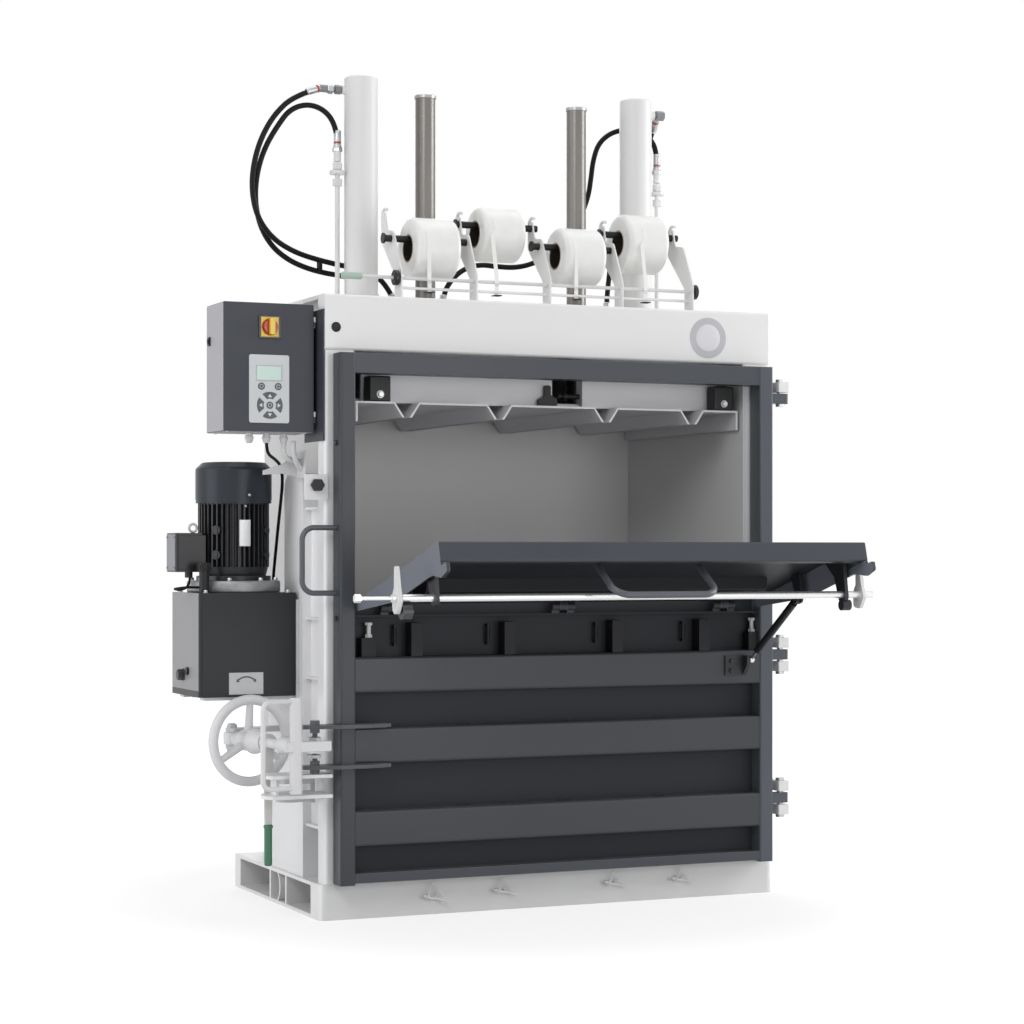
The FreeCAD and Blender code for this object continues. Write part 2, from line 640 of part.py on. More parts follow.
def build_ram():
    """Guide posts and piston rods that stand on the platen and rise and fall with it."""
    seat = PLATEN_UNDERSIDE + PLATEN_PLATE + PLATEN_TOP_PLATE
    rod_top = DECK_TOP + BARREL_HEIGHT - 12 - ROD_TOP_GAP
    rods = []
    for side in (-1, 1):
        x = side * CYLINDER_X
        shaft = cylinder(ROD_RADIUS, V(x, RAM_Y, seat), V(x, RAM_Y, rod_top))
        piston = cylinder(BARREL_BORE - 1, V(x, RAM_Y, rod_top - PISTON_HEIGHT), V(x, RAM_Y, rod_top))
        foot = cylinder(45, V(x, RAM_Y, seat), V(x, RAM_Y, seat + 14))
        rods.append(union([shaft, piston, foot]))
    posts = []
    for side in (-1, 1):
        x = side * GUIDE_X
        post = cylinder(GUIDE_RADIUS, V(x, RAM_Y, seat), V(x, RAM_Y, GUIDE_TOP - GUIDE_CAP_HEIGHT))
        cap = cylinder(GUIDE_CAP_RADIUS, V(x, RAM_Y, GUIDE_TOP - GUIDE_CAP_HEIGHT), V(x, RAM_Y, GUIDE_TOP))
        cap = cap.makeChamfer(2, [edge for edge in cap.Edges if edge.BoundBox.ZMin > GUIDE_TOP - 1])
        foot = cylinder(45, V(x, RAM_Y, seat), V(x, RAM_Y, seat + 12))
        posts.append(union([post, cap, foot]))
    parts["piston_rods"] = group(rods)
    parts["guide_posts"] = group(posts)


def build_platen():
    """Pressing platen: a backing plate over folded strips whose flanks form the four strap channels."""
    low = PLATEN_UNDERSIDE
    high = low + PLATEN_PLATE
    half_mouth = CHANNEL_MOUTH / 2
    half_slot = CHANNEL_SLOT / 2
    run = half_mouth - half_slot
    slant = math.hypot(run, CHANNEL_DEPTH)
    side_step = PLATEN_PLATE * slant / CHANNEL_DEPTH
    pieces = [box(-PLATEN_HALF_WIDTH, PLATEN_HALF_WIDTH, PLATEN_FRONT + PLATEN_SET_BACK, PLATEN_REAR, high,
                  high + PLATEN_TOP_PLATE)]
    edges = (-PLATEN_HALF_WIDTH,) + CHANNEL_XS + (PLATEN_HALF_WIDTH,)
    for index in range(len(edges) - 1):
        left, right = edges[index], edges[index + 1]
        outline = []
        if index == 0:
            outline += [(left, high), (left, high - PLATEN_FLANGE),
                        (left + PLATEN_PLATE, high - PLATEN_FLANGE),
                        (left + PLATEN_PLATE, low)]
        else:
            inner = left + half_mouth
            outline += [(inner, high), (left + half_slot, high - CHANNEL_DEPTH),
                        (left + half_slot + side_step, high - CHANNEL_DEPTH), (inner + 2, low)]
        if index == len(edges) - 2:
            outline += [(right - PLATEN_PLATE, low), (right - PLATEN_PLATE, high - PLATEN_FLANGE),
                        (right, high - PLATEN_FLANGE), (right, high)]
        else:
            inner = right - half_mouth
            outline += [(inner - 2, low), (right - half_slot - side_step, high - CHANNEL_DEPTH),
                        (right - half_slot, high - CHANNEL_DEPTH), (inner, high)]
        pieces.append(prism("XZ", PLATEN_FRONT, outline, PLATEN_REAR - PLATEN_FRONT))
    gap_left, gap_right = UPSTAND_GAP
    rear = UPSTAND_FRONT + PLATEN_PLATE
    top = high + UPSTAND_HEIGHT
    for start, end, edge in ((-UPSTAND_END, gap_left, gap_left - PLATEN_PLATE),
                             (gap_right, UPSTAND_END, gap_right)):
        pieces.append(box(start, end, UPSTAND_FRONT, rear, high, top))
        pieces.append(box(edge, edge + PLATEN_PLATE, rear, rear + UPSTAND_FLANGE, high, top))
    parts["platen"] = union(pieces)
    guides = []
    left_inset, right_inset = GUIDE_BLOCK_INSETS
    for start in (-PLATEN_HALF_WIDTH + left_inset, PLATEN_HALF_WIDTH - right_inset - GUIDE_BLOCK_WIDTH):
        block = box(start, start + GUIDE_BLOCK_WIDTH, PLATEN_FRONT + 3, PLATEN_FRONT + 3 + GUIDE_BLOCK_DEPTH,
                    high, high + GUIDE_BLOCK_HEIGHT)
        guides.append(block.makeFillet(5, block.Edges))
    catch_y = UPSTAND_FRONT - 14
    plate = prism("XZ", catch_y, ((-28, high), (32, high), (32, high + 24), (12, high + 34), (12, high + 62),
                                  (-8, high + 62), (-8, high + 30), (-28, high + 20)), 8,
                  radii=[0, 0, 6, 6, 6, 6, 6, 6])
    pin_y = rear + UPSTAND_FLANGE / 2
    pin = cylinder(7, V(48, pin_y, high + 34), V(gap_right, pin_y, high + 34))
    collar = cylinder(12, V(66, pin_y, high + 34), V(76, pin_y, high + 34))
    guides.append(plate)
    guides.append(union([pin, collar]))
    parts["platen_guides"] = group(guides)


# ---- door ---------------------------------------------------------------------------------------------
def build_door():
    """Front door: two box posts, a top and a bottom rail, three folded ribs and the sheet behind them."""
    back = -DOOR_GAP
    inner = DOOR_HALF_WIDTH - DOOR_POST_WIDTH
    pieces = []
    for side in (-1, 1):
        low_x, high_x = sorted((side * DOOR_HALF_WIDTH, side * inner))
        outline = ((low_x, DOOR_FRONT), (high_x, DOOR_FRONT), (high_x, back), (low_x, back))
        post = prism("XY", DOOR_BOTTOM, outline, DOOR_TOP - DOOR_BOTTOM, radius=6)
        hollow = box(low_x + DOOR_WALL, high_x - DOOR_WALL, DOOR_FRONT + DOOR_WALL, back - DOOR_WALL,
                     DOOR_BOTTOM + DOOR_WALL, DOOR_TOP - DOOR_WALL)
        pieces.append(post.cut(hollow))
    front = DOOR_FRONT + RAIL_SET_BACK
    top_rail = box(-inner, inner, front, back, DOOR_TOP - TOP_RAIL_HEIGHT, DOOR_TOP)
    pieces.append(top_rail.cut(box(-inner, inner, front + DOOR_WALL, back - DOOR_WALL,
                                   DOOR_TOP - TOP_RAIL_HEIGHT + DOOR_WALL, DOOR_TOP - DOOR_WALL)))
    rail_low = DOOR_BOTTOM + BOTTOM_RAIL_LIFT
    bottom_rail = box(-inner, inner, front, back, rail_low, rail_low + BOTTOM_RAIL_HEIGHT)
    pieces.append(bottom_rail.cut(box(-inner, inner, front + DOOR_WALL, back - DOOR_WALL,
                                      rail_low + DOOR_WALL,
                                      rail_low + BOTTOM_RAIL_HEIGHT - DOOR_WALL)))
    parts["door_frame"] = union(pieces)

    skin_front = SKIN_BACK - SKIN_PLATE
    ribs = []
    for low in RIB_BOTTOMS:
        high = low + RIB_HEIGHT
        outline = ((skin_front, low), (front, low), (front, high), (skin_front, high),
                   (skin_front, high - RIB_PLATE),
                   (front + RIB_PLATE, high - RIB_PLATE), (front + RIB_PLATE, low + RIB_PLATE),
                   (skin_front, low + RIB_PLATE))
        inner_bend = RIB_BEND - RIB_PLATE
        rib = prism("YZ", -inner, outline, 2 * inner,
                    radii=[0, RIB_BEND, RIB_BEND, 0, 0, inner_bend, inner_bend, 0])
        for centre in (-300.0, 10.0, 320.0):
            notch = box(centre - NOTCH_WIDTH / 2, centre + NOTCH_WIDTH / 2, skin_front - NOTCH_DEPTH * 3,
                        skin_front + 1,
                        high - NOTCH_DEPTH, high + 1)
            rib = rib.cut(notch)
        ribs.append(rib)
    parts["door_ribs"] = group(ribs)

    skin_bottom = DOOR_BOTTOM + BOTTOM_RAIL_LIFT + BOTTOM_RAIL_HEIGHT
    skin = box(-inner, inner, skin_front, SKIN_BACK, skin_bottom, SKIN_TOP + SKIN_LIP)
    flange = box(-inner, inner, skin_front - 34, SKIN_BACK, SKIN_TOP - SKIN_PLATE, SKIN_TOP)
    parts["door_skin"] = union([skin, flange])


def build_door_hinges():
    """Three hinges on the right: blocks on the frame, blocks on the door and a headed pin in each."""
    frame_blocks = []
    door_blocks = []
    pins = []
    bore = HINGE_PIN_RADIUS + RUNNING_FIT
    left = FRAME_HALF_WIDTH
    right = HINGE_X + HINGE_BLOCK / 2 + 2
    front = HINGE_Y - HINGE_BLOCK / 2 - 3
    for centre, arms in HINGE_LEVELS:
        knuckles = []
        if arms == 2:
            offset = HINGE_KNUCKLE + 5
            knuckles = [centre - offset, centre + offset]
            middle = centre
        else:
            knuckles = [centre + HINGE_KNUCKLE / 2 + 2]
            middle = centre - HINGE_KNUCKLE / 2 - 2
        room = HINGE_BLOCK + HINGE_KNUCKLE
        for level in knuckles:
            low = level - HINGE_KNUCKLE / 2
            block = prism("XY", low, ((left, front), (right, front), (right, HINGE_BACK),
                                      (left, HINGE_BACK)),
                          HINGE_KNUCKLE, radius=3)
            frame_blocks.append(block.cut(cylinder(bore, V(HINGE_X, HINGE_Y, low - 1),
                                                   V(HINGE_X, HINGE_Y, low + HINGE_KNUCKLE + 1))))
        low = middle - HINGE_KNUCKLE / 2
        block = prism("XY", low, ((DOOR_HALF_WIDTH, front + 2), (right, front + 2), (right, HINGE_Y + 19),
                                  (DOOR_HALF_WIDTH, HINGE_Y + 19)), HINGE_KNUCKLE, radii=[0, 9, 9, 0])
        door_blocks.append(block.cut(cylinder(HINGE_PIN_RADIUS, V(HINGE_X, HINGE_Y, middle - room),
                                              V(HINGE_X, HINGE_Y, middle + room))))
        levels = knuckles + [middle]
        pin_low = min(levels) - HINGE_KNUCKLE / 2 - SIDE_GAP
        pin_high = max(levels) + HINGE_KNUCKLE / 2 + SIDE_GAP
        pin = cylinder(HINGE_PIN_RADIUS, V(HINGE_X, HINGE_Y, pin_low), V(HINGE_X, HINGE_Y, pin_high))
        heads = [cylinder(HINGE_PIN_HEAD, V(HINGE_X, HINGE_Y, pin_low - HINGE_HEAD_HEIGHT),
                          V(HINGE_X, HINGE_Y, pin_low)),
                 cylinder(HINGE_PIN_HEAD, V(HINGE_X, HINGE_Y, pin_high),
                          V(HINGE_X, HINGE_Y, pin_high + HINGE_HEAD_HEIGHT))]
        pins.append(union([pin] + heads))
    parts["frame_hinge_blocks"] = group(frame_blocks)
    parts["door_hinge_blocks"] = group(door_blocks)
    parts["door_hinge_pins"] = group(pins)


def build_door_furniture():
    """Pull handle, strap claws, lock lugs with their adjusting bolts, and the gas strut's lower bracket."""
    x_root = -DOOR_HALF_WIDTH
    x_grip = x_root - HANDLE_REACH
    points = [V(x_root, HANDLE_Y, HANDLE_LOW), V(x_grip, HANDLE_Y, HANDLE_LOW),
              V(x_grip, HANDLE_Y, HANDLE_HIGH),
              V(x_root, HANDLE_Y, HANDLE_HIGH)]
    parts["door_handle"] = rod(points, HANDLE_BEND, HANDLE_RADIUS)[0]

    claws = []
    rib_top = RIB_BOTTOMS[2] + RIB_HEIGHT
    skin_front = SKIN_BACK - SKIN_PLATE
    for x in CHANNEL_XS:
        half = CLAW_WIDTH / 2
        claw = box(x - half, x + half, skin_front - CLAW_DEPTH, skin_front, rib_top, rib_top + CLAW_HEIGHT)
        claw = claw.cut(box(x - half + 3, x + half - 3, skin_front - CLAW_DEPTH + 3, skin_front - 3,
                            rib_top + 24,
                            rib_top + CLAW_HEIGHT - 8))
        spring_x = x - half - 38
        spring = cylinder(5, V(spring_x, skin_front - 14, rib_top + 34),
                          V(spring_x, skin_front - 14, rib_top + 78))
        hook = box(spring_x - 4, spring_x + 4, skin_front - 18, skin_front, rib_top + 78, rib_top + 86)
        foot = box(spring_x - 4, spring_x + 4, skin_front - 18, skin_front, rib_top + 28, rib_top + 34)
        claws.append(claw)
        claws.append(union([spring, hook, foot]))
    post_face = DOOR_HALF_WIDTH - DOOR_POST_WIDTH
    for start, width, x in ((-post_face + 23, 41, -post_face + 49.5), (post_face - 30, 30, post_face - 12)):
        block = box(start, start + width, skin_front - 36, skin_front, rib_top, rib_top + 52)
        stud = cylinder(6, V(x, skin_front - 20, rib_top + 52), V(x, skin_front - 20, rib_top + 88))
        nut = hexagon_bolt(V(x, skin_front - 20, rib_top + 52), Z_AXIS, across=19, head=9)
        head = hexagon_bolt(V(x, skin_front - 20, rib_top + 86), Z_AXIS, across=19, head=8)
        claws.append(block)
        claws.append(union([stud, nut, head]))
    parts["retaining_claws"] = group(claws)

    lugs = []
    bolts = []
    bolt_x = LUG_BOLT_X
    bolt_y = -46.0
    for low in LUG_LEVELS:
        outline = ((LUG_TIP, -66), (x_root - 4, -90), (LUG_ROOT - 60, -90), (LUG_ROOT, DOOR_FRONT),
                   (x_root, DOOR_FRONT), (x_root, -16), (LUG_TIP, -26))
        lugs.append(prism("XY", low, outline, LUG_PLATE, radii=[8, 12, 12, 0, 0, 0, 8]))
    low, high = LUG_LEVELS[0] + LUG_PLATE, LUG_LEVELS[1]
    gap = (high - low - CLAMP_BAR) / 2 - 5
    for start, direction in ((low, 1), (high, -1)):
        base_point = V(bolt_x, bolt_y, start)
        axis = Z_AXIS * direction
        bolts.append(union([hexagon_bolt(base_point, axis, across=24, head=12),
                            cylinder(7, base_point, base_point + axis * gap)]))
        outside = V(bolt_x, bolt_y, start - direction * LUG_PLATE)
        bolts.append(hexagon_bolt(outside, -axis, across=24, head=12))
    parts["lock_lugs"] = group(lugs + bolts)


# ---- loading flap -------------------------------------------------------------------------------------
TILT = math.radians(FLAP_TILT)
FLAP_U = V(0, -math.cos(TILT), math.sin(TILT))
FLAP_N = V(0, -math.sin(TILT), -math.cos(TILT))
FLAP_AXIS = V(0, FLAP_AXIS_Y, FLAP_AXIS_Z)


def on_flap(x, along, out):
    """Point on the open flap: across, up from the hinge line, and outward from the panel."""
    return FLAP_AXIS + X_AXIS * x + FLAP_U * along + FLAP_N * out


def flap_prism(x, points, thickness, radii=None):
    """Plate square to the flap's hinge line, drawn in the flap's own plane."""
    corners = [on_flap(x, along, out) for along, out in points]
    wire = rounded_wire(corners, radii or [0.0] * len(corners), True)
    return Part.Face(wire).extrude(X_AXIS * thickness)


def build_flap():
    """Loading flap: a tray with side flanges and a deep lip, a rounded stiffener and its hinge knuckles."""
    rise = -FLAP_PANEL_RISE
    sheet = FLAP_SHEET
    half = FLAP_HALF_WIDTH
    lip_end = rise + FLAP_LIP
    outline = ((FLAP_START, rise), (FLAP_LENGTH, rise), (FLAP_LENGTH, lip_end), (FLAP_LENGTH - 22, lip_end),
               (FLAP_LENGTH - 22, lip_end - sheet), (FLAP_LENGTH - sheet, lip_end - sheet),
               (FLAP_LENGTH - sheet, rise + sheet), (FLAP_START, rise + sheet))
    tray = flap_prism(-half, outline, 2 * half, radii=[0, 6, 6, 0, 0, 2, 2, 0])
    pieces = [tray]
    for x in (-half, half - sheet):
        flange = ((FLAP_START, rise + sheet), (FLAP_LENGTH - sheet, rise + sheet),
                  (FLAP_LENGTH - sheet, lip_end - sheet), (FLAP_LENGTH - 60, lip_end + 18),
                  (FLAP_LENGTH - 330, lip_end + 18), (FLAP_START, rise + FLAP_FLANGE_END))
        pieces.append(flap_prism(x, flange, sheet, radii=[0, 0, 0, 12, 30, 8]))
    nose_tip = FLAP_LENGTH + NOSE_REACH
    nose = ((FLAP_LENGTH - 90, lip_end), (FLAP_LENGTH, lip_end), (FLAP_LENGTH, lip_end + 10),
            (nose_tip, lip_end + 10), (nose_tip, lip_end + 34), (FLAP_LENGTH - 8, lip_end + 40),
            (FLAP_LENGTH - 60, lip_end + 20), (FLAP_LENGTH - 90, lip_end + 18))
    for x in (-half, half - NOSE_PLATE):
        pieces.append(flap_prism(x, nose, NOSE_PLATE, radii=[0, 0, 4, 4, 6, 12, 16, 0]))
    hat_half = half - HAT_END_GAP
    hat_low, hat_high = HAT_START, HAT_START + HAT_WIDTH
    hat = ((hat_low, rise + sheet), (hat_low + 14, rise + HAT_DEPTH), (hat_high - 14, rise + HAT_DEPTH),
           (hat_high, rise + sheet))
    hat_solid = flap_prism(-hat_half, hat, 2 * hat_half, radii=[0, 10, 10, 0])
    core = ((hat_low + 5, rise + sheet), (hat_low + 17, rise + HAT_DEPTH - sheet),
            (hat_high - 17, rise + HAT_DEPTH - sheet), (hat_high - 5, rise + sheet))
    hat_solid = hat_solid.cut(flap_prism(-hat_half + sheet, core, 2 * hat_half - 2 * sheet,
                                         radii=[0, 6, 6, 0]))
    parts["flap_stiffener"] = hat_solid

    door_knuckles = []
    outer = FLAP_HINGE_RADIUS + 5
    third = FLAP_HINGE_LENGTH / 3
    for x in FLAP_HINGE_XS:
        start = V(x - third / 2, FLAP_AXIS_Y, FLAP_AXIS_Z)
        centre = ring(outer, FLAP_HINGE_RADIUS + RUNNING_FIT, start, start + X_AXIS * third)
        web = flap_prism(start.x, ((0, rise), (FLAP_START + 26, rise), (FLAP_START + 26, rise - sheet),
                                   (0, rise - sheet)),
                         third)
        web = web.cut(cylinder(FLAP_HINGE_RADIUS + RUNNING_FIT, start - X_AXIS,
                               start + X_AXIS * (third + 2)))
        pieces += [centre, web]
        for side in (-1, 1):
            low_x = x + side * (third / 2 + SIDE_GAP) if side > 0 else x - third / 2 - SIDE_GAP - third
            begin = V(low_x, FLAP_AXIS_Y, FLAP_AXIS_Z)
            knuckle = ring(outer, FLAP_HINGE_RADIUS, begin, begin + X_AXIS * third)
            leg = box(low_x, low_x + third, FLAP_AXIS_Y - 5, FLAP_AXIS_Y + 5, SKIN_TOP, FLAP_AXIS_Z)
            leg = leg.cut(cylinder(outer - 1, begin, begin + X_AXIS * third))
            door_knuckles.append(union([knuckle, leg]))
        whole = FLAP_HINGE_LENGTH + 2 * SIDE_GAP
        pin_start = V(x - whole / 2, FLAP_AXIS_Y, FLAP_AXIS_Z)
        door_knuckles.append(cylinder(FLAP_HINGE_RADIUS, pin_start, pin_start + X_AXIS * whole))
    parts["flap_panel"] = union(pieces)
    parts["flap_hinge_seats"] = group(door_knuckles)

    foot = rise + sheet
    grip_along = FLAP_HANDLE_FOOT + FLAP_HANDLE_ALONG
    points = [on_flap(-FLAP_HANDLE_HALF, FLAP_HANDLE_FOOT, foot),
              on_flap(-FLAP_HANDLE_HALF, grip_along, foot + FLAP_HANDLE_OUT),
              on_flap(FLAP_HANDLE_HALF, grip_along, foot + FLAP_HANDLE_OUT),
              on_flap(FLAP_HANDLE_HALF, FLAP_HANDLE_FOOT, foot)]
    handle = rod(points, FLAP_HANDLE_BEND, FLAP_HANDLE_RADIUS)[0]
    feet = []
    for x in (-FLAP_HANDLE_HALF, FLAP_HANDLE_HALF):
        pad = ((FLAP_HANDLE_FOOT - 22, foot), (FLAP_HANDLE_FOOT + 22, foot),
               (FLAP_HANDLE_FOOT + 22, foot + 8),
               (FLAP_HANDLE_FOOT - 22, foot + 8))
        feet.append(flap_prism(x - 18, pad, 36))
    keep = flap_prism(-half, ((0, foot), (FLAP_LENGTH * 2, foot), (FLAP_LENGTH * 2, FLAP_LENGTH),
                              (0, FLAP_LENGTH)), 2 * half)
    parts["flap_handle"] = union([handle] + feet).common(keep)


def build_latch():
    """Round latch bar in front of the flap, its carriers, and the hooks and rollers at its ends."""
    rise = -FLAP_PANEL_RISE
    lip_end = rise + FLAP_LIP
    bar = cylinder(LATCH_BAR_RADIUS, on_flap(LATCH_LEFT_END, LATCH_ALONG, LATCH_OUT),
                   on_flap(LATCH_RIGHT_END, LATCH_ALONG, LATCH_OUT))
    tip_end = LATCH_LEFT_END - LATCH_TIP_LENGTH
    tip = cylinder(LATCH_TIP_RADIUS, on_flap(tip_end, LATCH_ALONG, LATCH_OUT),
                   on_flap(LATCH_LEFT_END, LATCH_ALONG, LATCH_OUT))
    head = hexagon_bolt(on_flap(tip_end + 16, LATCH_ALONG, LATCH_OUT), -X_AXIS, across=19, head=16)
    parts["latch_bar"] = union([bar, tip, head])

    carriers = []
    for start, width in ((-FLAP_HALF_WIDTH + LATCH_CARRIER_INSET, LATCH_PLATE),
                         (FLAP_HALF_WIDTH - 33, LATCH_PLATE)):
        arm = ((LATCH_ALONG - 70, rise + FLAP_SHEET), (LATCH_ALONG + 40, rise + FLAP_SHEET),
               (LATCH_ALONG + 26, lip_end + 16), (LATCH_ALONG + 18, LATCH_OUT + 20),
               (LATCH_ALONG - 18, LATCH_OUT + 20),
               (LATCH_ALONG - 26, lip_end + 10))
        plate = flap_prism(start, arm, width, radii=[0, 0, 12, 14, 14, 12])
        hole = cylinder(LATCH_BAR_RADIUS + RUNNING_FIT, on_flap(start - 1, LATCH_ALONG, LATCH_OUT),
                        on_flap(start + width + 1, LATCH_ALONG, LATCH_OUT))
        carriers.append(plate.cut(hole))
    boss_at = on_flap(FLAP_HALF_WIDTH - 36, LATCH_ALONG - 6, LATCH_OUT + 28)
    boss = cylinder(15, boss_at, boss_at + X_AXIS * 26)
    carriers[1] = union([carriers[1], boss])
    parts["flap_brackets"] = group(carriers)

    hook = ((LATCH_ALONG - 26, LATCH_OUT - 14), (LATCH_ALONG - 8, LATCH_OUT - 30),
            (LATCH_ALONG + 6, LATCH_OUT - 80),
            (LATCH_ALONG + 22, LATCH_OUT - 80), (LATCH_ALONG + 20, LATCH_OUT - 24),
            (LATCH_ALONG + 24, LATCH_OUT + 12),
            (LATCH_ALONG - 6, LATCH_OUT + 40), (LATCH_ALONG - 34, LATCH_OUT + 26))
    hooks = []
    for x in (LATCH_LEFT_HOOK, LATCH_RIGHT_HOOK):
        start = x - LATCH_PLATE / 2
        through = cylinder(LATCH_BAR_RADIUS, on_flap(start - 1, LATCH_ALONG, LATCH_OUT),
                           on_flap(start + LATCH_PLATE + 1, LATCH_ALONG, LATCH_OUT))
        hooks.append(flap_prism(start, hook, LATCH_PLATE, radii=[6, 8, 6, 7, 8, 8, 14, 10]).cut(through))
    roller_at = on_flap(LATCH_LEFT_HOOK + 8, LATCH_ALONG - 9, LATCH_OUT + 34)
    roller = cylinder(19, roller_at, roller_at + X_AXIS * 26)
    stud = cylinder(5, roller_at - X_AXIS * 18, roller_at + X_AXIS * 34)
    hooks[0] = union([hooks[0], roller, stud])
    parts["latch_hooks"] = group(hooks)


def build_strut():
    """Gas strut beside the flap: barrel hung from the flap, rod down to a stud on the upper rib."""
    low = V(STRUT_X, STRUT_LOW_Y, STRUT_LOW_Z)
    high = on_flap(STRUT_X, STRUT_ALONG, STRUT_OUT)
    direction = (low - high).normalize()
    half = STRUT_EYE_WIDTH / 2
    eye = cylinder(STRUT_EYE_RADIUS, high - X_AXIS * half, high + X_AXIS * half)
    stud = cylinder(STRUT_PIN_RADIUS, high - X_AXIS * (half + 5), high)
    neck_end = high + direction * (STRUT_EYE_RADIUS + 8)
    neck = cylinder(6, high + direction * (STRUT_EYE_RADIUS - 3), neck_end)
    barrel_end = neck_end + direction * STRUT_BARREL_LENGTH
    barrel = cylinder(STRUT_BARREL_RADIUS, neck_end, barrel_end)
    bore = cylinder(STRUT_ROD_RADIUS + RUNNING_FIT, neck_end + direction * 20, barrel_end + direction)
    parts["gas_strut_barrel"] = union([eye, stud, neck, barrel]).cut(bore)

    rod_start = neck_end + direction * 24
    low_eye = cylinder(STRUT_EYE_RADIUS, low - X_AXIS * half, low + X_AXIS * half)
    low_stud = cylinder(STRUT_PIN_RADIUS, low, low + X_AXIS * (half + 5))
    shaft = cylinder(STRUT_ROD_RADIUS, rod_start, low - direction * (STRUT_EYE_RADIUS - 2))
    parts["gas_strut_rod"] = union([shaft, low_eye, low_stud])

    sheet = FLAP_SHEET
    rise = -FLAP_PANEL_RISE
    inner_x = STRUT_X + half + SIDE_GAP
    tab = ((STRUT_ALONG - 24, rise + sheet), (STRUT_ALONG + 24, rise + sheet),
           (STRUT_ALONG + 14, STRUT_OUT + 12),
           (STRUT_ALONG - 14, STRUT_OUT + 12))
    tab_plate = flap_prism(inner_x, tab, 6, radii=[0, 0, 9, 9])
    pin = hexagon_bolt(V(inner_x + 6, high.y, high.z), X_AXIS, across=13, head=6)
    parts["flap_brackets"] = group(parts["flap_brackets"].Solids + [union([tab_plate, pin])])

    rib_front = DOOR_FRONT + RAIL_SET_BACK
    bracket_left = STRUT_X - half - SIDE_GAP - 12
    plate = box(bracket_left - 56, bracket_left + 12, rib_front - 6, rib_front, STRUT_LOW_Z - 46,
                STRUT_LOW_Z + 12)
    ear = prism("YZ", bracket_left, ((rib_front - 6, STRUT_LOW_Z - 46), (rib_front - 6, STRUT_LOW_Z + 12),
                                     (STRUT_LOW_Y - 12, STRUT_LOW_Z + 12),
                                     (STRUT_LOW_Y - 12, STRUT_LOW_Z - 14)), 12,
                radii=[0, 0, 8, 8])
    screws = [hexagon_bolt(V(bracket_left - 36, rib_front - 6, STRUT_LOW_Z - 4), -Y_AXIS, across=13, head=6),
              hexagon_bolt(V(bracket_left - 36, rib_front - 6, STRUT_LOW_Z - 32), -Y_AXIS, across=13,
                           head=6)]
    parts["strut_lower_bracket"] = union([plate, ear] + screws)


# ---- door lock ----------------------------------------------------------------------------------------
LOCK_TURN = math.radians(LOCK_ANGLE)
LOCK_AHEAD = V(math.sin(LOCK_TURN), -math.cos(LOCK_TURN), 0)
LOCK_SIDE = V(math.cos(LOCK_TURN), math.sin(LOCK_TURN), 0)
LOCK_PIVOT = V(LOCK_PIVOT_X, LOCK_PIVOT_Y, LOCK_Z)


def on_lock(ahead, side, up):
    """Point on the door lock: forward along the spindle, sideways towards the machine, and up."""
    return LOCK_PIVOT + LOCK_AHEAD * ahead + LOCK_SIDE * side + Z_AXIS * up


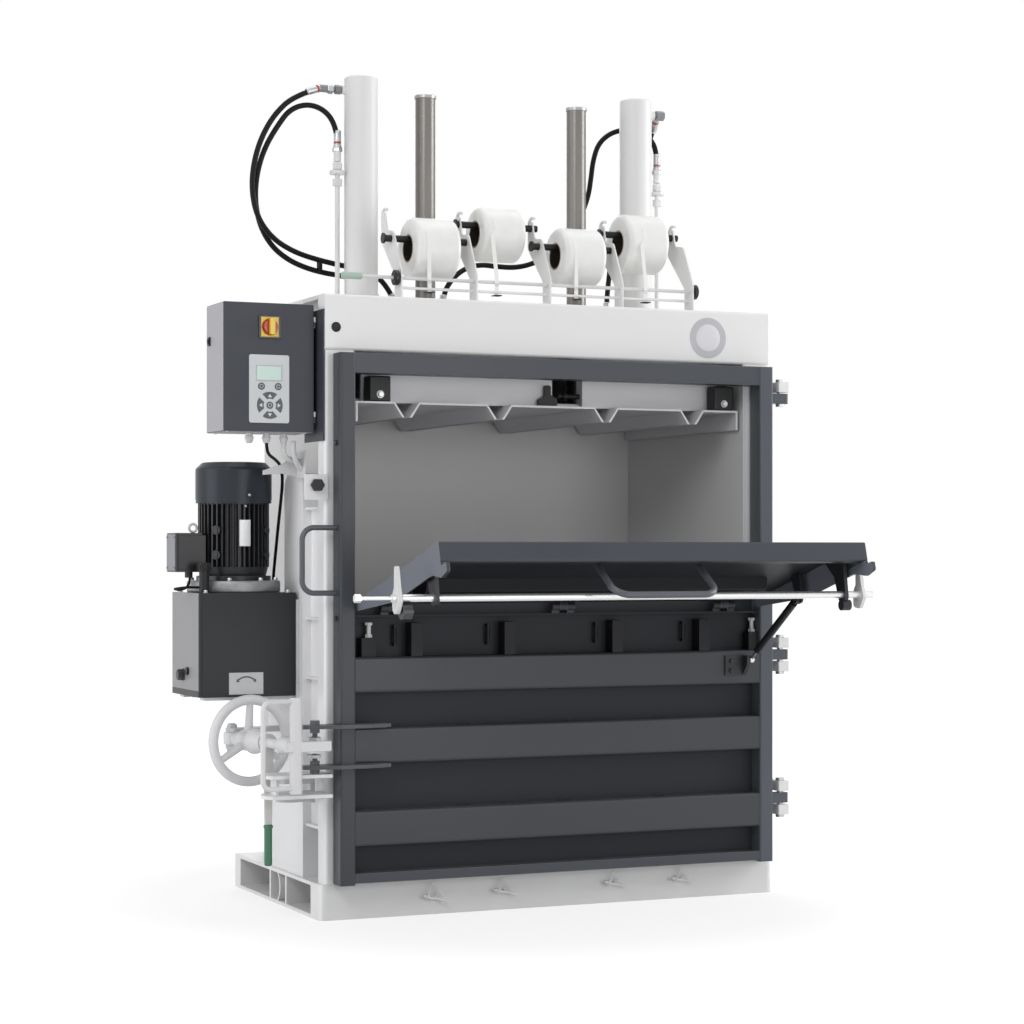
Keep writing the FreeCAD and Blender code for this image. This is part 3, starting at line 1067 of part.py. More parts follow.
def build_lock():
    """Door lock: swinging spindle on a clevis, handwheel, hanging lever and clamp tube with its loop."""
    knuckle = ring(24, LOCK_PIN_RADIUS + RUNNING_FIT, on_lock(0, 0, -LOCK_KNUCKLE_HALF),
                   on_lock(0, 0, LOCK_KNUCKLE_HALF))
    spindle = cylinder(SPINDLE_RADIUS, on_lock(20, 0, 0), on_lock(LOCK_TUBE_FROM_PIVOT - 70, 0, 0))
    collar = cylinder(21, on_lock(LOCK_COLLAR_START, 0, 0),
                      on_lock(WHEEL_FROM_PIVOT - WHEEL_HUB_LENGTH / 2 - SIDE_GAP, 0, 0))
    cone_start = WHEEL_FROM_PIVOT + WHEEL_HUB_LENGTH / 2 + SIDE_GAP
    sleeve_end = LEVER_FROM_PIVOT - 16
    sleeve = Part.makeCone(36, 24, sleeve_end - cone_start, on_lock(cone_start, 0, 0), LOCK_AHEAD)
    arm = union([knuckle, spindle, collar, sleeve])
    bore_depth = LOCK_TUBE_FROM_PIVOT - 160
    arm = arm.cut(cylinder(8 + RUNNING_FIT, on_lock(bore_depth, 0, 0), on_lock(LOCK_TUBE_FROM_PIVOT, 0, 0)))
    arm = arm.cut(cylinder(LOCK_PIN_RADIUS + RUNNING_FIT, on_lock(0, 0, -40), on_lock(0, 0, 40)))
    parts["lock_arm"] = arm

    hub_low = WHEEL_FROM_PIVOT - WHEEL_HUB_LENGTH / 2
    hub_high = WHEEL_FROM_PIVOT + WHEEL_HUB_LENGTH / 2
    rim = Part.makeTorus(WHEEL_RADIUS, WHEEL_RIM, on_lock(WHEEL_FROM_PIVOT, 0, 0), LOCK_AHEAD)
    hub = cylinder(WHEEL_HUB_RADIUS, on_lock(hub_low, 0, 0), on_lock(hub_high, 0, 0))
    spokes = []
    for index in range(WHEEL_SPOKES):
        angle = math.radians(90 + 360 * index / WHEEL_SPOKES)
        side, up = math.cos(angle), math.sin(angle)
        start = on_lock(WHEEL_FROM_PIVOT - 10, side * 16, up * 16)
        end = on_lock(WHEEL_FROM_PIVOT, side * WHEEL_RADIUS, up * WHEEL_RADIUS)
        spokes.append(Part.makeCone(13, 9, (end - start).Length, start, end - start))
    wheel = union([rim, hub] + spokes)
    parts["handwheel"] = wheel.cut(cylinder(SPINDLE_RADIUS + RUNNING_FIT, on_lock(hub_low - 20, 0, 0),
                                            on_lock(hub_high + 20, 0, 0)))

    half = LEVER_PLATE / 2
    ring_start = on_lock(LEVER_FROM_PIVOT - half, 0, 0)
    ring_end = on_lock(LEVER_FROM_PIVOT + half, 0, 0)
    head = cylinder(26, ring_start, ring_end)
    grip_top = -LEVER_LENGTH + GRIP_LENGTH
    bar_points = [on_lock(LEVER_FROM_PIVOT - half, side, up) for side, up in
                  ((-LEVER_WIDTH / 2 - 3, 0), (LEVER_WIDTH / 2 + 3, 0), (LEVER_WIDTH / 2 - 2, grip_top),
                   (-LEVER_WIDTH / 2 + 2, grip_top))]
    bar = Part.Face(Part.makePolygon(bar_points + [bar_points[0]])).extrude(LOCK_AHEAD * LEVER_PLATE)
    lever = union([head, bar]).cut(cylinder(SPINDLE_RADIUS + RUNNING_FIT, ring_start - LOCK_AHEAD * 20,
                                            ring_end + LOCK_AHEAD * 20))
    grip = cylinder(11, on_lock(LEVER_FROM_PIVOT, 0, -LEVER_LENGTH), on_lock(LEVER_FROM_PIVOT, 0, grip_top))
    grip = grip.makeFillet(6,
                           [edge for edge in grip.Edges if edge.BoundBox.ZMax < LOCK_Z - LEVER_LENGTH + 1])
    collar = cylinder(13, on_lock(LEVER_FROM_PIVOT, 0, grip_top - 8), on_lock(LEVER_FROM_PIVOT, 0, grip_top))
    parts["lock_lever"] = group([lever, union([grip, collar])])

    tube_low, tube_high = LOCK_TUBE_LOW - LOCK_Z, LOCK_TUBE_HIGH - LOCK_Z
    tube = ring(LOCK_TUBE_RADIUS, LOCK_TUBE_RADIUS - 4, on_lock(LOCK_TUBE_FROM_PIVOT, 0, tube_low),
                on_lock(LOCK_TUBE_FROM_PIVOT, 0, tube_high))
    reach = -LOCK_LOOP_REACH
    loop_points = [on_lock(LOCK_TUBE_FROM_PIVOT, -12, tube_high - 9),
                   on_lock(LOCK_TUBE_FROM_PIVOT, reach, tube_high - 9),
                   on_lock(LOCK_TUBE_FROM_PIVOT, reach, tube_low + 16),
                   on_lock(LOCK_TUBE_FROM_PIVOT, -12, tube_low + 16)]
    loop = rod(loop_points, 22, LOCK_LOOP_RADIUS)[0]
    loop = loop.cut(cylinder(LOCK_TUBE_RADIUS - 2, on_lock(LOCK_TUBE_FROM_PIVOT, 0, tube_low),
                             on_lock(LOCK_TUBE_FROM_PIVOT, 0, tube_high)))
    cone = Part.makeCone(26, 15, 52, on_lock(LOCK_TUBE_FROM_PIVOT - 66, 0, 0), LOCK_AHEAD)
    screw = cylinder(8, on_lock(LOCK_TUBE_FROM_PIVOT - 135, 0, 0), on_lock(LOCK_TUBE_FROM_PIVOT - 20, 0, 0))
    bar_half = CLAMP_BAR / 2
    bar_start = on_lock(LOCK_TUBE_FROM_PIVOT, 0, 0)
    bar_corners = [V(-28, -bar_half, -bar_half), V(CLAMP_BAR_REACH, -bar_half, -bar_half),
                   V(CLAMP_BAR_REACH, bar_half, -bar_half), V(-28, bar_half, -bar_half)]
    bar = Part.Face(Part.makePolygon(bar_corners + [bar_corners[0]])).extrude(Z_AXIS * CLAMP_BAR)
    bar.translate(bar_start)
    clamp = union([tube, loop, cone, bar, screw])
    clamp = clamp.cut(cylinder(LOCK_TUBE_RADIUS - 4, on_lock(LOCK_TUBE_FROM_PIVOT, 0, -26),
                               on_lock(LOCK_TUBE_FROM_PIVOT, 0, tube_low - 1)))
    parts["clamp_tube"] = clamp

    pin = cylinder(LOCK_PIN_RADIUS, on_lock(0, 0, -42), on_lock(0, 0, 42))
    outside = LOCK_KNUCKLE_HALF + SIDE_GAP + FORK_PLATE
    heads = [hexagon_bolt(on_lock(0, 0, outside), Z_AXIS, across=26, head=10),
             hexagon_bolt(on_lock(0, 0, -outside), -Z_AXIS, across=26, head=10)]
    parts["lock_fork"] = group(parts["lock_fork"].Solids + [union([pin] + heads)])


# ---- power pack ---------------------------------------------------------------------------------------
def build_power_pack():
    """Oil tank with filler and level plug, and the electric motor on its round cover."""
    outline = ((TANK_LEFT, TANK_FRONT), (TANK_RIGHT, TANK_FRONT), (TANK_RIGHT, TANK_FRONT + TANK_DEPTH),
               (TANK_LEFT, TANK_FRONT + TANK_DEPTH))
    tank = prism("XY", TANK_BOTTOM, outline, TANK_HEIGHT, radius=TANK_BEND)
    hollow = box(TANK_LEFT + 4, TANK_RIGHT - 4, TANK_FRONT + 4, TANK_FRONT + TANK_DEPTH - 4, TANK_BOTTOM + 4,
                 TANK_TOP - 4)
    tank = tank.cut(hollow)
    filler_x, filler_y = TANK_LEFT + 26, TANK_FRONT + 40
    tube = cylinder(14, V(filler_x, filler_y, TANK_TOP), V(filler_x, filler_y, TANK_TOP + 62))
    cap = cylinder(19, V(filler_x, filler_y, TANK_TOP + 62), V(filler_x, filler_y, TANK_TOP + 86))
    cap = cap.makeFillet(4, [edge for edge in cap.Edges if edge.BoundBox.ZMin > TANK_TOP + 85])
    plug = cylinder(11, V(TANK_LEFT - 6, TANK_FRONT + 110, TANK_BOTTOM + 70),
                    V(TANK_LEFT, TANK_FRONT + 110, TANK_BOTTOM + 70))
    cable_end = cable_points(CABLE_MOTOR)[-1]
    cable_gland = cylinder(7, V(cable_end.x, cable_end.y, TANK_TOP), cable_end)
    parts["tank_filler"] = group([union([tube, cap]), plug, cable_gland])

    plate_top = TANK_TOP + MOTOR_PLATE_HEIGHT
    plate = cylinder(MOTOR_PLATE_RADIUS, V(MOTOR_X, MOTOR_Y, TANK_TOP), V(MOTOR_X, MOTOR_Y, plate_top))
    plate = plate.makeChamfer(2, [edge for edge in plate.Edges if edge.BoundBox.ZMin > plate_top - 1])
    plate = plate.cut(cylinder(24, V(filler_x, filler_y, TANK_TOP - 1),
                               V(filler_x, filler_y, plate_top + 1)))
    parts["oil_tank"] = union([tank, plate])

    flange_top = plate_top + MOTOR_FLANGE_HEIGHT
    body_top = flange_top + MOTOR_BODY_HEIGHT
    flange = cylinder(MOTOR_FLANGE_RADIUS, V(MOTOR_X, MOTOR_Y, plate_top),
                      V(MOTOR_X, MOTOR_Y, plate_top + 14))
    neck = Part.makeCone(92, 98, MOTOR_FLANGE_HEIGHT - 14, V(MOTOR_X, MOTOR_Y, plate_top + 14), Z_AXIS)
    points = []
    pitch = 2 * math.pi / MOTOR_FINS
    for fin in range(MOTOR_FINS):
        for radius, share in ((MOTOR_CORE_RADIUS, -0.32), (MOTOR_FIN_RADIUS, -0.14),
                              (MOTOR_FIN_RADIUS, 0.14),
                              (MOTOR_CORE_RADIUS, 0.32)):
            angle = pitch * (fin + share)
            points.append(V(MOTOR_X + radius * math.cos(angle), MOTOR_Y + radius * math.sin(angle),
                            flange_top))
    body = Part.Face(Part.makePolygon(points + [points[0]])).extrude(Z_AXIS * MOTOR_BODY_HEIGHT)
    end_ring = cylinder(MOTOR_FIN_RADIUS - 2, V(MOTOR_X, MOTOR_Y, body_top - 14),
                        V(MOTOR_X, MOTOR_Y, body_top))
    pads = []
    for angle_deg in (225.0, 315.0):
        for level in (flange_top + 34, flange_top + 104):
            angle = math.radians(angle_deg)
            centre = V(MOTOR_X + 94 * math.cos(angle), MOTOR_Y + 94 * math.sin(angle), level)
            outward = V(math.cos(angle), math.sin(angle), 0)
            pads.append(cylinder(13, centre, centre + outward * 14))
    motor = union([flange, neck, body, end_ring] + pads)
    bore_low = body_top - 60
    motor = motor.cut(cylinder(SHAFT_RADIUS + RUNNING_FIT, V(MOTOR_X, MOTOR_Y, bore_low),
                               V(MOTOR_X, MOTOR_Y, body_top + 1)))
    parts["motor_body"] = motor

    cowl_top = body_top + COWL_HEIGHT
    inner = COWL_RADIUS - COWL_SHEET
    profile = [V(COWL_RADIUS, 0, 0), V(COWL_RADIUS, 0, COWL_HEIGHT - COWL_CHAMFER),
               V(COWL_RADIUS - COWL_CHAMFER, 0, COWL_HEIGHT), V(14, 0, COWL_HEIGHT),
               V(14, 0, COWL_HEIGHT - COWL_SHEET),
               V(COWL_RADIUS - COWL_CHAMFER - 1.5, 0, COWL_HEIGHT - COWL_SHEET),
               V(inner, 0, COWL_HEIGHT - COWL_CHAMFER - 1.5), V(inner, 0, 0)]
    radii = [0, 12, 8, 0, 0, 6, 10, 0]
    cowl = Part.Face(rounded_wire(profile, radii, True)).revolve(V(0, 0, 0), Z_AXIS, 360)
    cowl.translate(V(MOTOR_X, MOTOR_Y, body_top))
    disc = cylinder(15, V(MOTOR_X, MOTOR_Y, cowl_top - COWL_SHEET), V(MOTOR_X, MOTOR_Y, cowl_top))
    lug = ring(COWL_RADIUS - 1, MOTOR_FIN_RADIUS, V(MOTOR_X, MOTOR_Y, body_top - 10),
               V(MOTOR_X, MOTOR_Y, body_top))
    cowl = union([cowl, disc, lug, ring(COWL_RADIUS, MOTOR_FIN_RADIUS - 3, V(MOTOR_X, MOTOR_Y, body_top),
                                        V(MOTOR_X, MOTOR_Y, body_top + 3))])
    grille = []
    for ring_radius, count in ((34.0, 10), (52.0, 16), (70.0, 22)):
        for step in range(count):
            angle = 2 * math.pi * step / count
            x = MOTOR_X + ring_radius * math.cos(angle)
            y = MOTOR_Y + ring_radius * math.sin(angle)
            grille.append(cylinder(5, V(x, y, cowl_top - COWL_SHEET - 1), V(x, y, cowl_top + 1)))
    parts["fan_cowl"] = cowl.cut(Part.makeCompound(grille))

    fan_low = body_top + 22
    shaft = cylinder(SHAFT_RADIUS, V(MOTOR_X, MOTOR_Y, bore_low + 2), V(MOTOR_X, MOTOR_Y, fan_low + 40))
    hub = cylinder(26, V(MOTOR_X, MOTOR_Y, fan_low), V(MOTOR_X, MOTOR_Y, fan_low + 36))
    blades = []
    for blade in range(FAN_BLADES):
        plate = box(20, FAN_RADIUS, -2, 2, 0, 34)
        plate.rotate(V(0, 0, 0), Z_AXIS, 360.0 * blade / FAN_BLADES)
        plate.translate(V(MOTOR_X, MOTOR_Y, fan_low))
        blades.append(plate)
    parts["motor_fan"] = union([shaft, hub] + blades)

    width, depth, height = TERMINAL_BOX
    box_right = MOTOR_X - MOTOR_FIN_RADIUS
    box_low = flange_top - 14
    terminal = prism("XY", box_low, ((box_right - width, MOTOR_Y - depth / 2),
                                     (box_right, MOTOR_Y - depth / 2),
                                     (box_right, MOTOR_Y + depth / 2),
                                     (box_right - width, MOTOR_Y + depth / 2)),
                     height, radius=8)
    gland = cylinder(11, V(box_right - 40, MOTOR_Y - 30, box_low - 16),
                     V(box_right - 40, MOTOR_Y - 30, box_low))
    throat = box(box_right - 2, MOTOR_X - MOTOR_CORE_RADIUS, MOTOR_Y - 30, MOTOR_Y + 30, box_low + 24,
                 box_low + 90)
    throat = throat.cut(motor)
    eye = Part.makeTorus(11, 3.5, V(box_right - 30, MOTOR_Y - 38, box_low + height + 14), Y_AXIS)
    parts["terminal_box"] = union([terminal, gland, throat, eye])


# ---- control cabinet ----------------------------------------------------------------------------------
def build_cabinet():
    """Control cabinet hung beside the header: a sheet case and a hinged door with keypad and switch."""
    left = CABINET_RIGHT - CABINET_WIDTH
    body_front = CABINET_FRONT + CABINET_DOOR_DEPTH
    back = CABINET_FRONT + CABINET_DEPTH
    top = CABINET_BOTTOM + CABINET_HEIGHT
    outline = ((left, CABINET_BOTTOM), (CABINET_RIGHT, CABINET_BOTTOM), (CABINET_RIGHT, top), (left, top))
    case = prism("XZ", body_front, outline, back - body_front, radius=CABINET_BEND)
    case = case.cut(box(left + CABINET_SHEET, CABINET_RIGHT - CABINET_SHEET, body_front - 1,
                        back - CABINET_SHEET,
                        CABINET_BOTTOM + CABINET_SHEET, top - CABINET_SHEET))
    glands = []
    for index, x in enumerate((left + 100, left + 150, left + 200)):
        gland = cylinder(10, V(x, body_front + 60, CABINET_BOTTOM - 14),
                         V(x, body_front + 60, CABINET_BOTTOM))
        glands.append(gland)

    door = prism("XZ", CABINET_FRONT, outline, CABINET_DOOR_DEPTH - SIDE_GAP, radius=CABINET_BEND)
    door = door.cut(box(left + 3, CABINET_RIGHT - 3, CABINET_FRONT + 3, body_front, CABINET_BOTTOM + 3,
                        top - 3))
    hinge_x = CABINET_RIGHT + CABINET_HINGE_OUT
    hinge_y = CABINET_FRONT + 5
    door_knuckles = []
    case_knuckles = []
    for level in (CABINET_BOTTOM + 30, top - 62):
        barrel = ring(4, 2 + RUNNING_FIT, V(hinge_x, hinge_y, level), V(hinge_x, hinge_y, level + 14))
        door_knuckles.append(barrel)
        door_knuckles.append(box(CABINET_RIGHT - 3, hinge_x - 3, hinge_y - 2, hinge_y + 2, level,
                                 level + 14))
        start = level + 14 + SIDE_GAP
        pin = cylinder(2, V(hinge_x, hinge_y, level - 1), V(hinge_x, hinge_y, start + 14))
        body = cylinder(4, V(hinge_x, hinge_y, start), V(hinge_x, hinge_y, start + 14))
        leaf = box(hinge_x - 1, hinge_x + 1, hinge_y, body_front + 24, start, start + 14)
        foot = box(CABINET_RIGHT, hinge_x + 1, body_front + 6, body_front + 24, start, start + 14)
        case_knuckles.append(union([pin, body, leaf, foot]))
    parts["cabinet_door"] = union([door] + door_knuckles)
    parts["cabinet_fittings"] = group(glands + case_knuckles)

    wall_face = -(CHAMBER_HALF_WIDTH + WALL)
    arm = box(CABINET_RIGHT, wall_face, back - 60, back - 54, CABINET_BOTTOM + 60, top - 60)
    pad = box(CABINET_RIGHT, CABINET_RIGHT + 5, back - 90, back - 10, CABINET_BOTTOM + 60, top - 60)
    foot = box(wall_face - 6, wall_face, back - 90, back - 10, CABINET_BOTTOM + 60, top - 60)
    carrier_face = -FRAME_HALF_WIDTH - CARRIER_PLATE
    carrier = box(carrier_face, -FRAME_HALF_WIDTH, 2, CARRIER_DEPTH, CARRIER_LOW, CARRIER_HIGH)
    spacer = box(CABINET_RIGHT + 5, carrier_face, back - 90, CARRIER_DEPTH, CABINET_BOTTOM + 60, top - 60)
    parts["cabinet_case"] = union([case, arm, pad, foot, carrier, spacer])

    width, height = KEYPAD_SIZE
    panel = prism("XZ", CABINET_FRONT - 3, ((KEYPAD_X - width / 2, KEYPAD_Z - height / 2),
                                            (KEYPAD_X + width / 2, KEYPAD_Z - height / 2),
                                            (KEYPAD_X + width / 2, KEYPAD_Z + height / 2),
                                            (KEYPAD_X - width / 2, KEYPAD_Z + height / 2)), 3, radius=6)
    half = SWITCH_PLATE / 2
    plate = prism("XZ", CABINET_FRONT - 4, ((KNOB_X - half, KNOB_Z - half), (KNOB_X + half, KNOB_Z - half),
                                            (KNOB_X + half, KNOB_Z + half), (KNOB_X - half, KNOB_Z + half)),
                                            4, radius=3)
    parts["cabinet_plates"] = group([panel, plate])
    knob_face = CABINET_FRONT - 4 - SIDE_GAP
    dial = cylinder(KNOB_RADIUS, V(KNOB_X, knob_face - 12, KNOB_Z), V(KNOB_X, knob_face, KNOB_Z))
    bar = prism("XZ", knob_face - 26, ((KNOB_X - 7, KNOB_Z - 22), (KNOB_X + 7, KNOB_Z - 22),
                                       (KNOB_X + 7, KNOB_Z + 22),
                                       (KNOB_X - 7, KNOB_Z + 22)), 16, radius=5)
    parts["switch_knob"] = union([dial, bar])


# ---- strap store --------------------------------------------------------------------------------------
def build_strap_store():
    """Strap spools on their pins, the leaning plates that carry them and the release rod in front."""
    plates = []
    top = DECK_TOP + RACK_HEIGHT
    for x in RACK_XS:
        front, rear = STRAP_ROD_Y - RACK_FOOT_FRONT, STRAP_ROD_Y + RACK_FOOT_REAR
        outline = ((front, DECK_TOP), (rear, DECK_TOP), (rear, DECK_TOP + RACK_FOOT_HEIGHT),
                   (STRAP_ROD_Y + RACK_REACH, top - 80), (STRAP_ROD_Y + RACK_REACH, top),
                   (STRAP_ROD_Y + RACK_REACH - 30, top), (STRAP_ROD_Y + RACK_REACH - 46, top - 55),
                   (STRAP_ROD_Y + RACK_REACH - 96, top - 61), (front, DECK_TOP + RACK_FOOT_HEIGHT + 4))
        plate = prism("YZ", x - RACK_PLATE / 2, outline, RACK_PLATE,
                      radii=[0, 0, 20, 24, 13, 13, 16, 22, 20])
        hole = cylinder(STRAP_ROD_RADIUS + RUNNING_FIT, V(x - 10, STRAP_ROD_Y, STRAP_ROD_Z),
                        V(x + 10, STRAP_ROD_Y, STRAP_ROD_Z))
        plates.append(plate.cut(hole))
    stay = cylinder(4, V(RACK_XS[0] - 2, STRAP_ROD_Y + 8, STRAP_ROD_Z - 27),
                    V(RACK_XS[-1] + 2, STRAP_ROD_Y + 8,
                                                                              STRAP_ROD_Z - 27))
    rack = union(plates + [stay])

    pins = []
    for index, (centre_x, y, z, radius) in enumerate(SPOOL_SPECS):
        pin_z = z + SPOOL_BORE - SPOOL_PIN_RADIUS - SEAT_GAP
        left = RACK_XS[index] - RACK_PLATE / 2 - 26
        right = RACK_XS[index + 1] + RACK_PLATE / 2 + 6
        if index % 2:
            left += 14
            right += 8
        pin = cylinder(SPOOL_PIN_RADIUS, V(left, y, pin_z), V(right, y, pin_z))
        head = cylinder(15, V(left, y, pin_z), V(left + 5, y, pin_z))
        pins.append(union([pin, head]))
        half = SPOOL_WIDTH / 2
        name = "strap_spool_" + str(index + 1)
        profile = [V(-half, 0, SPOOL_BORE), V(half, 0, SPOOL_BORE), V(half, 0, radius), V(-half, 0, radius)]
        wire = rounded_wire(profile, [0, 0, 14, 14], True)
        spool = Part.Face(wire).revolve(V(0, 0, 0), X_AXIS, 360)
        spool.translate(V(centre_x, y, z))
        parts[name] = spool
    for pin in pins:
        rack = rack.cut(pin)
    parts["spool_rack"] = rack
    parts["spool_pins"] = group(pins)

    bar = cylinder(STRAP_ROD_RADIUS, V(STRAP_ROD_LEFT, STRAP_ROD_Y, STRAP_ROD_Z),
                   V(STRAP_ROD_END, STRAP_ROD_Y, STRAP_ROD_Z))
    discs = []
    for x in (RACK_XS[0] - 16, RACK_XS[-1] + 8):
        discs.append(cylinder(STRAP_DISC_RADIUS, V(x, STRAP_ROD_Y, STRAP_ROD_Z),
                              V(x + 8, STRAP_ROD_Y, STRAP_ROD_Z)))
    tip = cylinder(10, V(STRAP_ROD_LEFT - 4, STRAP_ROD_Y, STRAP_ROD_Z),
                   V(STRAP_ROD_LEFT + 56, STRAP_ROD_Y, STRAP_ROD_Z))
    tip = tip.makeFillet(4, [tip.Edges[0], tip.Edges[2]])
    tip = tip.cut(cylinder(STRAP_ROD_RADIUS, V(STRAP_ROD_LEFT, STRAP_ROD_Y, STRAP_ROD_Z),
                           V(STRAP_ROD_LEFT + 60, STRAP_ROD_Y, STRAP_ROD_Z)))
    parts["strap_rod"] = group([union([bar] + discs), tip])


def build_cleats():
    """Cast tying cleats on the base front, for the free strap ends."""
    cleats = []
    for x, z in ((-382.0, 47.0), (-168.0, 53.0), (180.0, 56.0), (399.0, 56.0)):
        foot = prism("XZ", -4, ((x - 22, z - 9), (x + 22, z - 9), (x + 22, z + 9), (x - 22, z + 9)), 4,
                     radius=6)
        stem = cylinder(6, V(x, -4, z), V(x, -18, z))
        horn = rod([V(x - 34, -25, z + 9), V(x - 14, -18, z + 2), V(x + 14, -18, z - 2),
                    V(x + 34, -25, z - 9)], 18, 4)[0]
        cleats.append(union([foot, stem, horn]))
    parts["strap_cleats"] = group(cleats)


# ---- pipes, hoses and cables --------------------------------------------------------------------------
# hose routes from the barrel axis on the deck, cable routes from the left side of the frame
HOSE_OUTER = [(-130, 0, 640), (-205, 0, 613), (-264, 0, 558), (-305, 0, 489), (-329, 2, 412),
              (-334, 7, 332), (-314, 16, 255), (-262, 30, 197), (-190, 47, 164), (-113, 62, 147),
              (-34, 77, 136), (45, 89, 127), (117, 99, 95), (151, 102, 24)]
HOSE_INNER = [(-74, 0, 478), (-74, 0, 514), (-100, 1, 570), (-157, 3, 594), (-217, 6, 575),
              (-256, 9, 521), (-289, 12, 464), (-309, 16, 406), (-317, 24, 345), (-312, 34, 284),
              (-292, 45, 226), (-254, 56, 176), (-204, 64, 143), (-149, 70, 123), (-89, 76, 111),
              (-29, 82, 106), (29, 90, 94), (76, 101, 65), (101, 107, 24)]
HOSE_RIGHT = [(74, 0, 478), (74, 0, 519), (70, 21, 565), (47, 53, 596), (7, 82, 607), (-38, 101, 594),
              (-76, 107, 559), (-94, 107, 505), (-103, 103, 448), (-113, 101, 392), (-135, 103, 336),
              (-167, 104, 284), (-207, 105, 238), (-253, 105, 200), (-306, 105, 172), (-363, 105, 159),
              (-421, 105, 160), (-477, 105, 164), (-531, 105, 148), (-573, 105, 112), (-597, 105, 70),
              (-603, 105, 24)]
HOSE_RIGHT_UPPER = [(78, 15, 628), (81, 45, 590), (71, 76, 542), (55, 96, 486), (35, 106, 428),
                    (15, 108, 370), (-4, 107, 312), (-20, 105, 254), (-33, 103, 196), (-42, 102, 138),
                    (-48, 102, 80), (-51, 103, 24)]
CABLE_MOTOR = [(-126, 129, 1331), (-125, 131, 1304), (-112, 150, 1286), (-80, 190, 1276), (-48, 232, 1258),
               (-30, 274, 1216), (-24, 310, 1156), (-22, 342, 1080), (-22, 366, 1000), (-22, 382, 950),
               (-22, 385, 915)]
CABLE_BOX = [(-293, 310, 943), (-293, 310, 932), (-302, 310, 914), (-321, 310, 908), (-343, 294, 911),
             (-345, 270, 913), (-328, 254, 916), (-305, 256, 917), (-291, 275, 916), (-275, 283, 916)]


def hose_points(route, side):
    """Route of a hose beside one barrel, in the drawing frame."""
    return [V(side * CYLINDER_X + x, RAM_Y + y, DECK_TOP + z) for x, y, z in route]


def cable_points(route):
    """Route of a cable on the left side, in the drawing frame."""
    return [V(x - FRAME_HALF_WIDTH, y, z) for x, y, z in route]


def build_pipes_and_hoses():
    """Steel pipes up to the hose ends beside each barrel, fittings, the free hoses and the two cables."""
    port_z = DECK_TOP + BARREL_HEIGHT - PORT_DROP
    barrel_face = CYLINDER_X + BARREL_RADIUS
    hose_end = DECK_TOP + HOSE_END_HEIGHT
    disc_low = hose_end - DISC_DROP
    pipes = []
    for side in (-1, 1):
        x = side * (barrel_face + PIPE_GAP)
        low = DECK_TOP + BARREL_FLANGE_HEIGHT
        pipe = cylinder(PIPE_RADIUS, V(x, RAM_Y, low), V(x, RAM_Y, hose_end - 60))
        nuts = [hexagon_bolt(V(x, RAM_Y, hose_end - drop), Z_AXIS, across=25, head=20) for drop in NUT_DROPS]
        disc = cylinder(23, V(x, RAM_Y, disc_low), V(x, RAM_Y, disc_low + 10))
        ferrule = cylinder(11, V(x, RAM_Y, hose_end - 48), V(x, RAM_Y, hose_end))
        foot = cylinder(14, V(x, RAM_Y, low), V(x, RAM_Y, low + 16))
        strap_from, strap_to = sorted((side * (barrel_face - 2), x))
        strap = box(strap_from, strap_to, RAM_Y - 5, RAM_Y + 5, disc_low + 1, disc_low + 9)
        clamp = union([pipe, disc, ferrule, foot, strap] + nuts)
        pipes.append(clamp.cut(cylinder(BARREL_RADIUS, V(side * CYLINDER_X, RAM_Y, DECK_TOP),
                                        V(side * CYLINDER_X, RAM_Y, DECK_TOP + BARREL_HEIGHT))))
    left_port = V(-(barrel_face + 12), RAM_Y, port_z)
    hose_start = hose_points(HOSE_OUTER, -1)[0]
    left_nut = hexagon_bolt(left_port - X_AXIS * 4, -X_AXIS, across=24, head=16)
    pipes.append(union([cylinder(7, left_port, left_port - X_AXIS * 50), left_nut,
                        cylinder(11, hose_start + X_AXIS * 24, hose_start)]))
    right_port = V(barrel_face + 12, RAM_Y, port_z)
    right_nut = hexagon_bolt(right_port + X_AXIS * 8, X_AXIS, across=26, head=26)
    elbow = cylinder(9, right_port + X_AXIS * 18, hose_points(HOSE_RIGHT_UPPER, 1)[0])
    pipes.append(union([cylinder(9, right_port, right_port + X_AXIS * 12), right_nut, elbow]))
    lines = {"hose_left_outer": [(HOSE_OUTER, -1)], "hose_left_inner": [(HOSE_INNER, -1)],
             "hose_right": [(HOSE_RIGHT, 1), (HOSE_RIGHT_UPPER, 1)]}
    for name, routes in lines.items():
        tubes = []
        for route, side in routes:
            points = hose_points(route, side)
            deck_end = points[-1]
            pipes.append(cylinder(FERRULE_RADIUS, V(deck_end.x, deck_end.y, DECK_TOP), deck_end))
            tubes.append(hose(name, points, HOSE_RADIUS))
        parts[name] = group(tubes)
    parts["hydraulic_pipes"] = group(pipes)
    parts["cables"] = group([hose("cable_motor", cable_points(CABLE_MOTOR), CABLE_RADIUS),
                             hose("cable_box", cable_points(CABLE_BOX), BOX_CABLE_RADIUS)])


def main():
    """Build every node and store it about the ram axis on the floor."""
    build_base()
    build_chamber()
    build_front_posts()
    build_side_columns()
    build_header()
    build_deck()
    build_cylinders()
    build_ram()
    build_platen()
    build_door()
    build_door_hinges()
    build_door_furniture()
    build_flap()
    build_latch()
    build_strut()
    build_lock()
    build_power_pack()
    build_cabinet()
    build_strap_store()
    build_cleats()
    build_pipes_and_hoses()
    os.makedirs("parts", exist_ok=True)
    for name, shape in parts.items():
        stored = shape.copy()
        stored.translate(V(0, -RAM_Y, 0))
        stored.exportStep("parts/" + name + ".step")
        if not stored.isValid():
            print("not valid:", name)
    print(len(parts), "nodes")


main()
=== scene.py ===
"""Looks of the recycling baler: camera, light, materials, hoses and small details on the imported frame."""
import bpy
import bmesh
import math
from mathutils import Matrix, Vector


